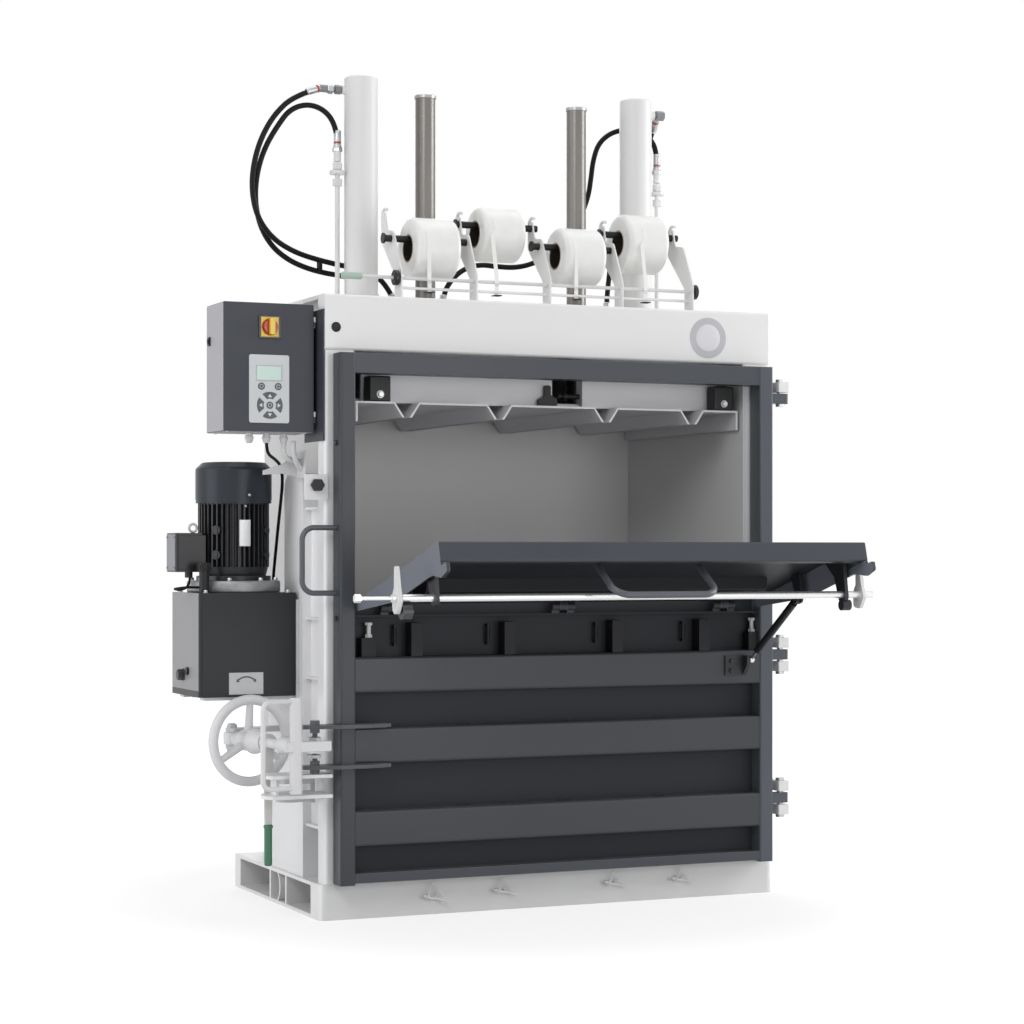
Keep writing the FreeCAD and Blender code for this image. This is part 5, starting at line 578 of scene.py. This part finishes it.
def ribbon(shape, line, across, thickness):
    """Flat strap along a line of points, as wide as the vector across."""
    rows = []
    for step, place in enumerate(line):
        ahead = line[min(step + 1, len(line) - 1)] - line[max(step - 1, 0)]
        out = ahead.cross(across).normalized() * thickness / 2
        corners = ((-1, -1), (1, -1), (1, 1), (-1, 1))
        rows.append([shape.verts.new(place + s * across / 2 + t * out) for s, t in corners])
    for low, high in zip(rows, rows[1:]):
        for step in range(4):
            after = (step + 1) % 4
            shape.faces.new((low[step], low[after], high[after], high[step]))
    shape.faces.new(rows[0])
    shape.faces.new(rows[-1])


def tube(name, body, material, points, radius, rounds=5):
    """Round wire or hose on a smooth line that follows the given control points; radius in metres."""
    data = bpy.data.curves.new(name, "CURVE")
    data.dimensions = "3D"
    data.bevel_depth = radius
    data.bevel_resolution = rounds
    data.resolution_u = 10
    data.use_fill_caps = True
    spline = data.splines.new("NURBS")
    spline.points.add(len(points) - 1)
    for point, place in zip(spline.points, points):
        point.co = (place.x, place.y, place.z, 1.0)
    spline.order_u = 3
    spline.use_endpoint_u = True
    obj = link(bpy.data.objects.new(name, data))
    data.materials.append(material)
    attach(obj, body)
    return obj


# ---- hoses and cables ---------------------------------------------------------------------------------
# node that the line stands for, length in metres, and its control points in millimetres
HOSES = {
    "hose_left_outer": ("hose_left_outer", 1.033, [
        (-581, 385, 2368), (-656, 385, 2341), (-715, 385, 2286), (-756, 385, 2217), (-780, 387, 2140),
        (-785, 392, 2060), (-765, 401, 1983), (-713, 415, 1925), (-641, 432, 1892), (-564, 447, 1875),
        (-485, 462, 1864), (-406, 474, 1855), (-334, 484, 1823), (-300, 487, 1752)]),
    "hose_left_inner": ("hose_left_inner", 1.062, [
        (-525, 385, 2206), (-525, 385, 2242), (-551, 386, 2298), (-608, 388, 2322), (-668, 391, 2303),
        (-707, 394, 2249), (-740, 397, 2192), (-760, 401, 2134), (-768, 409, 2073), (-763, 419, 2012),
        (-743, 430, 1954), (-705, 441, 1904), (-655, 449, 1871), (-600, 455, 1851), (-540, 461, 1839),
        (-480, 467, 1834), (-422, 475, 1822), (-375, 486, 1793), (-350, 492, 1752)]),
    "hose_right": ("hose_right", 1.138, [
        (525, 385, 2206), (525, 385, 2247), (521, 406, 2293), (498, 438, 2324), (458, 467, 2335),
        (413, 486, 2322), (375, 492, 2287), (357, 492, 2233), (348, 488, 2176), (338, 486, 2120),
        (316, 488, 2064), (284, 489, 2012), (244, 490, 1966), (198, 490, 1928), (145, 490, 1900),
        (88, 490, 1887), (30, 490, 1888), (-26, 490, 1892), (-80, 490, 1876), (-122, 490, 1840),
        (-146, 490, 1798), (-152, 490, 1752)]),
    "hose_right_upper": ("hose_right", 0.645, [
        (529, 400, 2356), (532, 430, 2318), (522, 461, 2270), (506, 481, 2214), (486, 491, 2156),
        (466, 493, 2098), (447, 492, 2040), (431, 490, 1982), (418, 488, 1924), (409, 487, 1866),
        (403, 487, 1808), (400, 488, 1752)]),
}
HOSE_DIAMETER = 0.016
for name, (stands_for, length, route) in HOSES.items():
    points = [P(*p) for p in route]
    made = tube(name + "_line", "press_frame", rubber, points, HOSE_DIAMETER / 2)
    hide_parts(stands_for)
# diameter and length in metres, and control points in millimetres; both stand for the node "cables"
CABLES = {
    "cable_motor": (0.009, 0.547, [
        (-826, 129, 1331), (-825, 131, 1304), (-812, 150, 1286), (-780, 190, 1276), (-748, 232, 1258),
        (-730, 274, 1216), (-724, 310, 1156), (-722, 342, 1080), (-722, 366, 1000), (-722, 382, 950),
        (-722, 385, 915)]),
    "cable_box": (0.007, 0.183, [
        (-993, 310, 943), (-993, 310, 932), (-1002, 310, 914), (-1021, 310, 908), (-1043, 294, 911),
        (-1045, 270, 913), (-1028, 254, 916), (-1005, 256, 917), (-991, 275, 916), (-975, 283, 916)]),
}
for name, (diameter, length, route) in CABLES.items():
    points = [P(*p) for p in route]
    made = tube(name + "_line", "press_frame", rubber, points, diameter / 2)
    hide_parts("cables")


# ---- hydraulic fittings -------------------------------------------------------------------------------
# each hose end and the next point of its route: first the four upper ends, then the four over the deck
ROUTES = [route for _, _, route in HOSES.values()]
FERRULES = [(route[0], route[1]) for route in ROUTES] + [(route[-1], route[-2]) for route in ROUTES]


def build_ferrules(shape):
    profile = [(-2, 8), (-2, 10.8), (3, 10.8), (4, 9.6), (9, 9.6), (10, 10.9), (34, 10.9), (36, 10.2),
               (38, 10.9), (40, 10.9), (42, 9.4), (42, 8)]
    for start, toward in FERRULES:
        way = P(*toward) - P(*start)
        lathe(shape, P(*start), way, profile, 24, True)


def build_red_rings(shape):
    for start, toward in FERRULES[:4]:
        way = P(*toward) - P(*start)
        lathe(shape, P(*start), way, [(4, 8.2), (4, 11.2), (8, 11.2), (8, 8.2)], 24, True)


def build_unions(shape):
    for x in (-525, 525):
        bolt(shape, P(x, 385, 2186), (0, 0, 1), 26, 13)
        lathe(shape, P(x, 385, 2199), (0, 0, 1), [(0, 9), (0, 12.4), (6, 12.4), (7, 11), (7, 9)], 24, True)
    bolt(shape, P(-541, 385, 2368), (-1, 0, 0), 25, 16)
    bolt(shape, P(529, 392, 2366), (0, 1, -1.1), 24, 12)


piece("hose_ferrules", "press_frame", zinc, build_ferrules)
piece("ferrule_rings", "press_frame", ring_red, build_red_rings)
piece("pipe_unions", "press_frame", zinc, build_unions)


def build_sleeve(shape):
    """Short rubber tie around the two left hoses, one above the other."""
    line = [P(-562, 449.3, 1859.7), P(-552, 450.9, 1858.1)]
    way = (line[1] - line[0]).normalized()
    up = Vector((0, 0, 1))
    side = way.cross(up).normalized()
    rows = []
    for place in line:
        row = []
        for step in range(28):
            angle = 2 * math.pi * step / 28
            tall = 0.0095 * math.sin(angle) + math.copysign(0.011, math.sin(angle))
            row.append(shape.verts.new(place + side * 0.0095 * math.cos(angle) + up * tall))
        rows.append(row)
    for step in range(28):
        after = (step + 1) % 28
        shape.faces.new((rows[0][step], rows[0][after], rows[1][after], rows[1][step]))
    shape.faces.new(rows[0])
    shape.faces.new(rows[1])


piece("hose_sleeve", "press_frame", rubber, build_sleeve, bevel=1.5)


# ---- straps from the spools past the release rod to their slots ---------------------------------------
TAIL_XS = (-381, -145, 80, 329)     # where each tail leaves its spool, along X
TAIL_LEAN = 0.443                   # sideways run for each millimetre of depth, below the spool
SLOT_Y = 58                         # middle of the slot frames, along Y


def build_tails(shape):
    for x, (_, y, z, radius) in zip(TAIL_XS, SPOOLS):
        front = y - radius
        line = [(y - (radius + 0.6) * math.cos(a), z + (radius + 0.6) * math.sin(a))
                for a in (0.5, 0.35, 0.2, 0.05)]
        line += [(front - 0.6, z - 10), (43.4, 1800), (43.6, 1784), (48, 1779.5), (54, 1776), (SLOT_Y, 1764),
                 (SLOT_Y, 1749)]
        places = [P(x + (min(along, SLOT_Y) - front) * TAIL_LEAN * (step > 3), along, high)
                  for step, (along, high) in enumerate(line)]
        ribbon(shape, places, Vector((0.012, 0, 0)), 0.0007)


tail_plastic = surface("strap_tail", "#f1f1ee", 0.4, grain=0.02, scale=1400, mottle=0.02,
                       stretch=(1, 1, 0.1))
piece("strap_tails", "press_frame", tail_plastic, build_tails)


def build_deck_slots(shape):
    profile = [(0, 10), (0, 17), (2.2, 17), (3.0, 16), (3.0, 10)]
    for x, (_, y, _, radius) in zip(TAIL_XS, SPOOLS):
        lathe(shape, P(x + (SLOT_Y - y + radius) * TAIL_LEAN, SLOT_Y, 1747.8), (0, 0, 1), profile, 4, True)


piece("deck_slots", "press_frame", black_plastic, build_deck_slots, bevel=0.5)

RACK_XS = (-460.0, -230.0, 0.0, 232.0, 464.0)   # the rack's five arms
ROD_Y, ROD_Z = 50, 1786                         # axis of the release rod


def build_discs(shape):
    profile = [(-1.2, 21.8), (0.2, 21.8), (1.6, 20), (2.4, 17), (1.0, 13), (2.6, 9), (2.6, 5.4)]
    for x in (RACK_XS[0] - 16, RACK_XS[-1] + 8):
        for start, way in ((x - 0.6, -1), (x + 8.6, 1)):
            lathe(shape, P(start, ROD_Y, ROD_Z), (way, 0, 0), profile, 36)


piece("rod_discs", "strap_rod", black_plastic, build_discs)

for index, x in enumerate(RACK_XS):
    high = 1950 if index % 2 == 0 else 1952
    tube("rack_hook_" + str(index + 1), "press_frame", white_round,
         [P(x, 182, high), P(x, 187, high + 22), P(x, 180, high + 38), P(x, 164, high + 46),
          P(x, 150, high + 40)], 0.0045)


# ---- header -------------------------------------------------------------------------------------------
def build_plug(shape):
    profile = [(0, 14), (1.2, 14), (2.4, 13), (3.2, 10.5), (2.6, 9.5), (2.6, 2)]
    lathe(shape, P(-667, 0.5, 1636), (0, -1, 0), profile, 32)
    slab(shape, (-675, -3.6, 1634.4), (-659, -2.2, 1637.6))


piece("header_plug", "press_frame", black_plastic, build_plug)


BADGE_CENTRE = P(496, 0.4, 1647)


def build_badge_ring(shape):
    lathe(shape, BADGE_CENTRE, (0, -1, 0), [(0, 60), (0.8, 60), (1.2, 59.4), (1.2, 41), (0.4, 40.5)], 64)


def build_badge_face(shape):
    lathe(shape, BADGE_CENTRE, (0, -1, 0), [(0.2, 40.4), (1.0, 40.4), (1.7, 38), (1.9, 20)], 64)


piece("badge_ring", "press_frame", badge_ring, build_badge_ring)
piece("badge_face", "press_frame", badge_face, build_badge_face)


# ---- control cabinet ----------------------------------------------------------------------------------
KEYS_X, KEYS_Z = -844.0, 1418.0     # middle of the four arrow keys, where the round key sits
UPPER_KEY_XS, UPPER_KEY_Z = (-868, -820), 1470
KEY_OUTER, KEY_INNER = 37, 18       # distances of an arrow key's two edges from that middle


def build_keys(shape):
    centres = [(x, UPPER_KEY_Z) for x in UPPER_KEY_XS] + [(KEYS_X, KEYS_Z)]
    for x, z in centres:
        lathe(shape, P(x, 44.2, z), (0, -1, 0), [(0, 10), (0.8, 10), (1.2, 9.4)], 32)
    for quarter in range(4):
        middle = math.pi / 2 * quarter
        outline = []
        edges = ((KEY_OUTER, 0.6, range(-8, 9)), (KEY_INNER, 0.46, range(8, -9, -1)))
        for radius, spread, angles in edges:
            for step in angles:
                angle = middle + spread * step / 8
                outline.append(P(KEYS_X + radius * math.cos(angle), 44.2, KEYS_Z + radius * math.sin(angle)))
        plate(shape, outline, Vector((0, -0.001, 0)))


def build_key_marks(shape):
    for quarter in range(4):
        angle = math.pi / 2 * quarter
        out = Vector((math.cos(angle), 0, math.sin(angle)))
        side = Vector((-out.z, 0, out.x))
        middle = P(KEYS_X, 43.1, KEYS_Z) + out * 0.026
        foot = middle - out * 0.004
        plate(shape, [middle + out * 0.005, foot + side * 0.006, foot - side * 0.006],
              Vector((0, -0.0004, 0)))
    for x in UPPER_KEY_XS + (KEYS_X,):
        z = KEYS_Z if x == KEYS_X else UPPER_KEY_Z
        ring(shape, P(x, 43.0, z), (0, -1, 0), 4.2, 5.6, 0.5, 24)


slab_piece("display_frame", "cabinet_door", badge_ring, (-884, 43.3, 1484), (-808, 44.4, 1528), 0.4)
slab_piece("display", "cabinet_door", mint_glass, (-881, 42.8, 1487), (-811, 43.8, 1525), 0.3)
piece("pad_keys", "cabinet_door", key_print, build_keys)
piece("key_marks", "cabinet_door", white, build_key_marks, smooth=False)


def build_switch_surround(shape):
    outer = [P(-876, 46.8, 1601), P(-812, 46.8, 1601), P(-812, 46.8, 1665), P(-876, 46.8, 1665)]
    plate(shape, outer, Vector((0, -0.0022, 0)))


def build_switch_ring(shape):
    ring(shape, P(-844, 43.0, 1633), (0, -1, 0), 20.6, 23.5, 2.0, 40)


slab_piece("switch_plate", "cabinet_door", yellow_plastic, (-869, 42.2, 1606), (-819, 43.6, 1660), 0.5)
piece("switch_surround", "cabinet_door", black_plastic, build_switch_surround, bevel=1.0)
piece("switch_ring", "cabinet_door", red_plastic, build_switch_ring)


def build_case_latch(shape):
    slab(shape, (-980.5, 164, 1586), (-975, 182, 1610))
    lathe(shape, P(-980, 173, 1598), (-1, 0, 0), [(0, 7), (2.5, 7), (3.2, 6), (3.2, 3)], 24)


piece("case_latch", "press_frame", black_plastic, build_case_latch, bevel=1.2)


def build_case_screws(shape):
    for x, y in ((-958, 62), (-958, 180), (-735, 62)):
        screw(shape, P(x, y, 1345.2), (0, 0, -1), 9, 3)


piece("case_screws", "press_frame", zinc, build_case_screws)


def build_glands(shape):
    profile = [(9, 7), (9, 12.5), (15, 12.5), (17, 11), (24, 9.5), (27, 7)]
    for x in (-876, -826, -776):
        lathe(shape, P(x, 129, 1345), (0, 0, -1), profile, 24, True)


piece("gland_nuts", "press_frame", cast_white, build_glands)
# rigid pipes from under the cabinet to the cable bracket: radius in metres, control points in millimetres
CONDUITS = {
    "conduit_a": (0.0075, [
        (-776, 129, 1324), (-776, 129, 1300), (-770, 136, 1282), (-748, 150, 1272), (-716, 160, 1270)]),
    "conduit_b": (0.008, [
        (-754, 110, 1324), (-754, 112, 1304), (-748, 122, 1284), (-730, 140, 1256), (-716, 150, 1248)]),
}
for name, (radius, route) in CONDUITS.items():
    tube(name, "press_frame", cast_white, [P(*p) for p in route], radius)


def build_cable_bracket(shape):
    corners = ((-716, 1296), (-760, 1262), (-816, 1244), (-816, 1232), (-760, 1236), (-716, 1228))
    plate(shape, [P(x, 128, z) + Vector((0, 0.064, 0)) for x, z in corners], Vector((0, 0.003, 0)))
    slab(shape, (-716, 120, 1222), (-713, 206, 1300))


piece("cable_bracket", "press_frame", cast_white, build_cable_bracket, bevel=0.8)


# ---- motor, tank and terminal box ---------------------------------------------------------------------
MOTOR_X, MOTOR_Y = -855.0, 340.0    # motor axis
TANK_TOP = 901
MOTOR_PLATE_TOP = TANK_TOP + 33
HOUSING_LOW = MOTOR_PLATE_TOP + 39  # lower end of the ribbed housing


def around(radius, degrees, z):
    """Point about the motor axis."""
    angle = math.radians(degrees)
    return P(MOTOR_X + radius * math.cos(angle), MOTOR_Y + radius * math.sin(angle), z)


def outward(degrees):
    return Vector((math.cos(math.radians(degrees)), math.sin(math.radians(degrees)), 0))


def build_rating_plate(shape):
    outer, inner, bottom, top = 103.2, 101.2, 1032, 1106
    section = ((inner, bottom), (outer, bottom), (outer, top), (inner, top))
    rows = [[shape.verts.new(around(radius, a, z)) for a in range(262, 282, 2)] for radius, z in section]
    for first, second in zip(rows, rows[1:] + rows[:1]):
        for step in range(len(first) - 1):
            shape.faces.new((first[step], first[step + 1], second[step + 1], second[step]))
    shape.faces.new([row[0] for row in rows])
    shape.faces.new([row[-1] for row in reversed(rows)])


piece("rating_plate", "press_frame", plate_film, build_rating_plate)


def build_motor_screws(shape):
    screw(shape, around(116.6, 275, 1176), outward(275), 9, 3)
    screw(shape, around(116.6, 95, 1176), outward(95), 9, 3)
    screw(shape, around(101.4, 272, 1145), outward(272), 8, 3)
    for a in range(22, 382, 45):
        bolt(shape, around(119, a, MOTOR_PLATE_TOP), (0, 0, 1), 11, 7, washer=17)


def build_pad_lugs(shape):
    """Square lugs on the front pads of the motor."""
    for degrees in (225.0, 315.0):
        for level in (HOUSING_LOW + 34, HOUSING_LOW + 104):
            middle, way = around(103.5, degrees, level), outward(degrees)
            side, up = Vector((-way.y, way.x, 0)) * 0.0065, Vector((0, 0, 0.0085))
            corners = [middle - side - up, middle + side - up, middle + side + up, middle - side + up]
            plate(shape, corners, way * 0.0065)


def build_motor_plate(shape):
    profile = [(3, 120), (3, 131.8), (5, 132.6), (28, 132.6), (32, 131), (33.6, 128), (33.6, 107)]
    lathe(shape, P(MOTOR_X, MOTOR_Y, TANK_TOP), (0, 0, 1), profile, 72, True)


piece("motor_screws", "press_frame", zinc, build_motor_screws)
piece("pad_bolts", "press_frame", black_steel, build_pad_lugs, bevel=1.0)
piece("motor_plate_ring", "press_frame", cast_plate, build_motor_plate)


def build_filler_ribs(shape):
    for step in range(20):
        angle = 2 * math.pi * step / 20
        way = Vector((math.cos(angle), math.sin(angle), 0))
        middle = P(-972, 240, 963) + way * 0.0188
        side = Vector((-way.y, way.x, 0)) * 0.0016
        out = way * 0.0016
        plate(shape, [middle - side, middle + side, middle + side * 0.6 + out, middle - side * 0.6 + out],
              Vector((0, 0, 0.019)))


piece("filler_ribs", "press_frame", black_plastic, build_filler_ribs, smooth=False)


def build_drain_plug(shape):
    bolt(shape, P(-998, 356, 668), (-1, 0, 0), 27, 17, washer=36)


piece("drain_plug", "press_frame", black_steel, build_drain_plug)


def build_arrow(shape):
    line = []
    for step in range(17):
        angle = math.radians(50 + 80 * step / 16)
        line.append(P(-862 - 38 * math.cos(angle), 198.6, 626 + 40 * math.sin(angle)))
    ribbon(shape, line, Vector((0, 0.0008, 0)), 0.0042)
    for sign in (-1, 1):
        tip = P(-862 + sign * 29, 198.6, 651)
        plate(shape, [tip, tip + Vector((-sign * 0.002, 0, 0.010)), tip + Vector((-sign * 0.010, 0, 0.002))],
              Vector((0, -0.0006, 0)))


slab_piece("tank_label", "press_frame", label_film, (-912, 198.9, 617), (-812, 200.2, 678), 0.4)
piece("turn_arrow", "press_frame", key_print, build_arrow, smooth=False)


def build_box_cover(shape):
    slab(shape, (-1039.6, 298, 963), (-1036, 382, 1065))
    for y in (305, 375):
        for z in (971, 1057):
            screw(shape, P(-1039.4, y, z), (-1, 0, 0), 8, 2.6)


cover_paint = surface("terminal_cover", "#85878c", 0.38, grain=0.02, scale=500, mottle=0.06, edge=1.0)
piece("terminal_cover", "press_frame", cover_paint, build_box_cover, bevel=2.0)
slab_piece("terminal_front", "press_frame", motor_paint, (-1031, 288.8, 965), (-952, 290.8, 1063), 1.5)


def build_tank_bolts(shape):
    for x in (-975, -735):
        for y in (215, 465):
            bolt(shape, P(x, y, TANK_TOP), (0, 0, 1), 10, 6, washer=16)
    bolt(shape, P(-985, 300, 612), (0, 0, -1), 10, 6)


piece("tank_bolts", "press_frame", zinc, build_tank_bolts)


# ---- door, flap and lock ------------------------------------------------------------------------------
def build_edge_bolts(shape):
    for z in (1315, 833):
        bolt(shape, P(-678, -36, z), (-1, 0, 0), 13, 6)


piece("door_edge_bolts", "door", black_steel, build_edge_bolts)


def build_lug_nuts(shape):
    for z in (460, 508):
        bolt(shape, P(-745, -46, z - 6), (0, 0, 1), 29, 10)
    lathe(shape, P(-745, -46, 552), (0, 0, 1), [(0, 12), (3, 12), (4.5, 10), (5, 5)], 24)


piece("lug_nuts", "door", zinc, build_lug_nuts)


def build_weld_beads(shape):
    for z in (424, 434, 534, 544):
        lathe(shape, P(-676, -67.4, z), (1, 0, 0), [(0, 0.6), (1, 2.2), (130, 2.2), (132, 0.6)], 10)


piece("lug_welds", "door", lug_steel, build_weld_beads)


def build_rest(shape):
    plan = [(-700, 84), (-735, 82), (-765, 82), (-786, 88), (-797, 100), (-800, 120)]
    for middle in (337, 388):
        ribbon(shape, [P(x, y, middle) for x, y in plan], Vector((0, 0, 0.032)), 0.005)
    slab(shape, (-712, 84, 318), (-699, 120, 407))


piece("lock_rest", "press_frame", cast_grey, build_rest, bevel=1.5)


def build_rest_bolts(shape):
    for z in (336, 386):
        bolt(shape, P(-712, 100, z), (-1, 0, 0), 17, 8, washer=24)


piece("rest_bolts", "press_frame", black_steel, build_rest_bolts)


def build_guide_bolts(shape):
    for x in (-530, 560):
        bolt(shape, P(x, 18, 1455), (0, -1, 0), 15, 7, washer=22)


piece("guide_bolts", "platen", zinc, build_guide_bolts)

# wire loop that stands over each strap cleat
for x in (-382, -168, 180, 399):
    tube("cleat_wire_" + str(x + 400), "press_frame", white_round,
         [P(x + 22, -27, 52), P(x + 21, -28, 58), P(x - 4, -22, 92), P(x - 6, -21, 94), P(x - 8, -22, 92),
          P(x - 21, -28, 58), P(x - 22, -27, 52)], 0.0016, rounds=2)
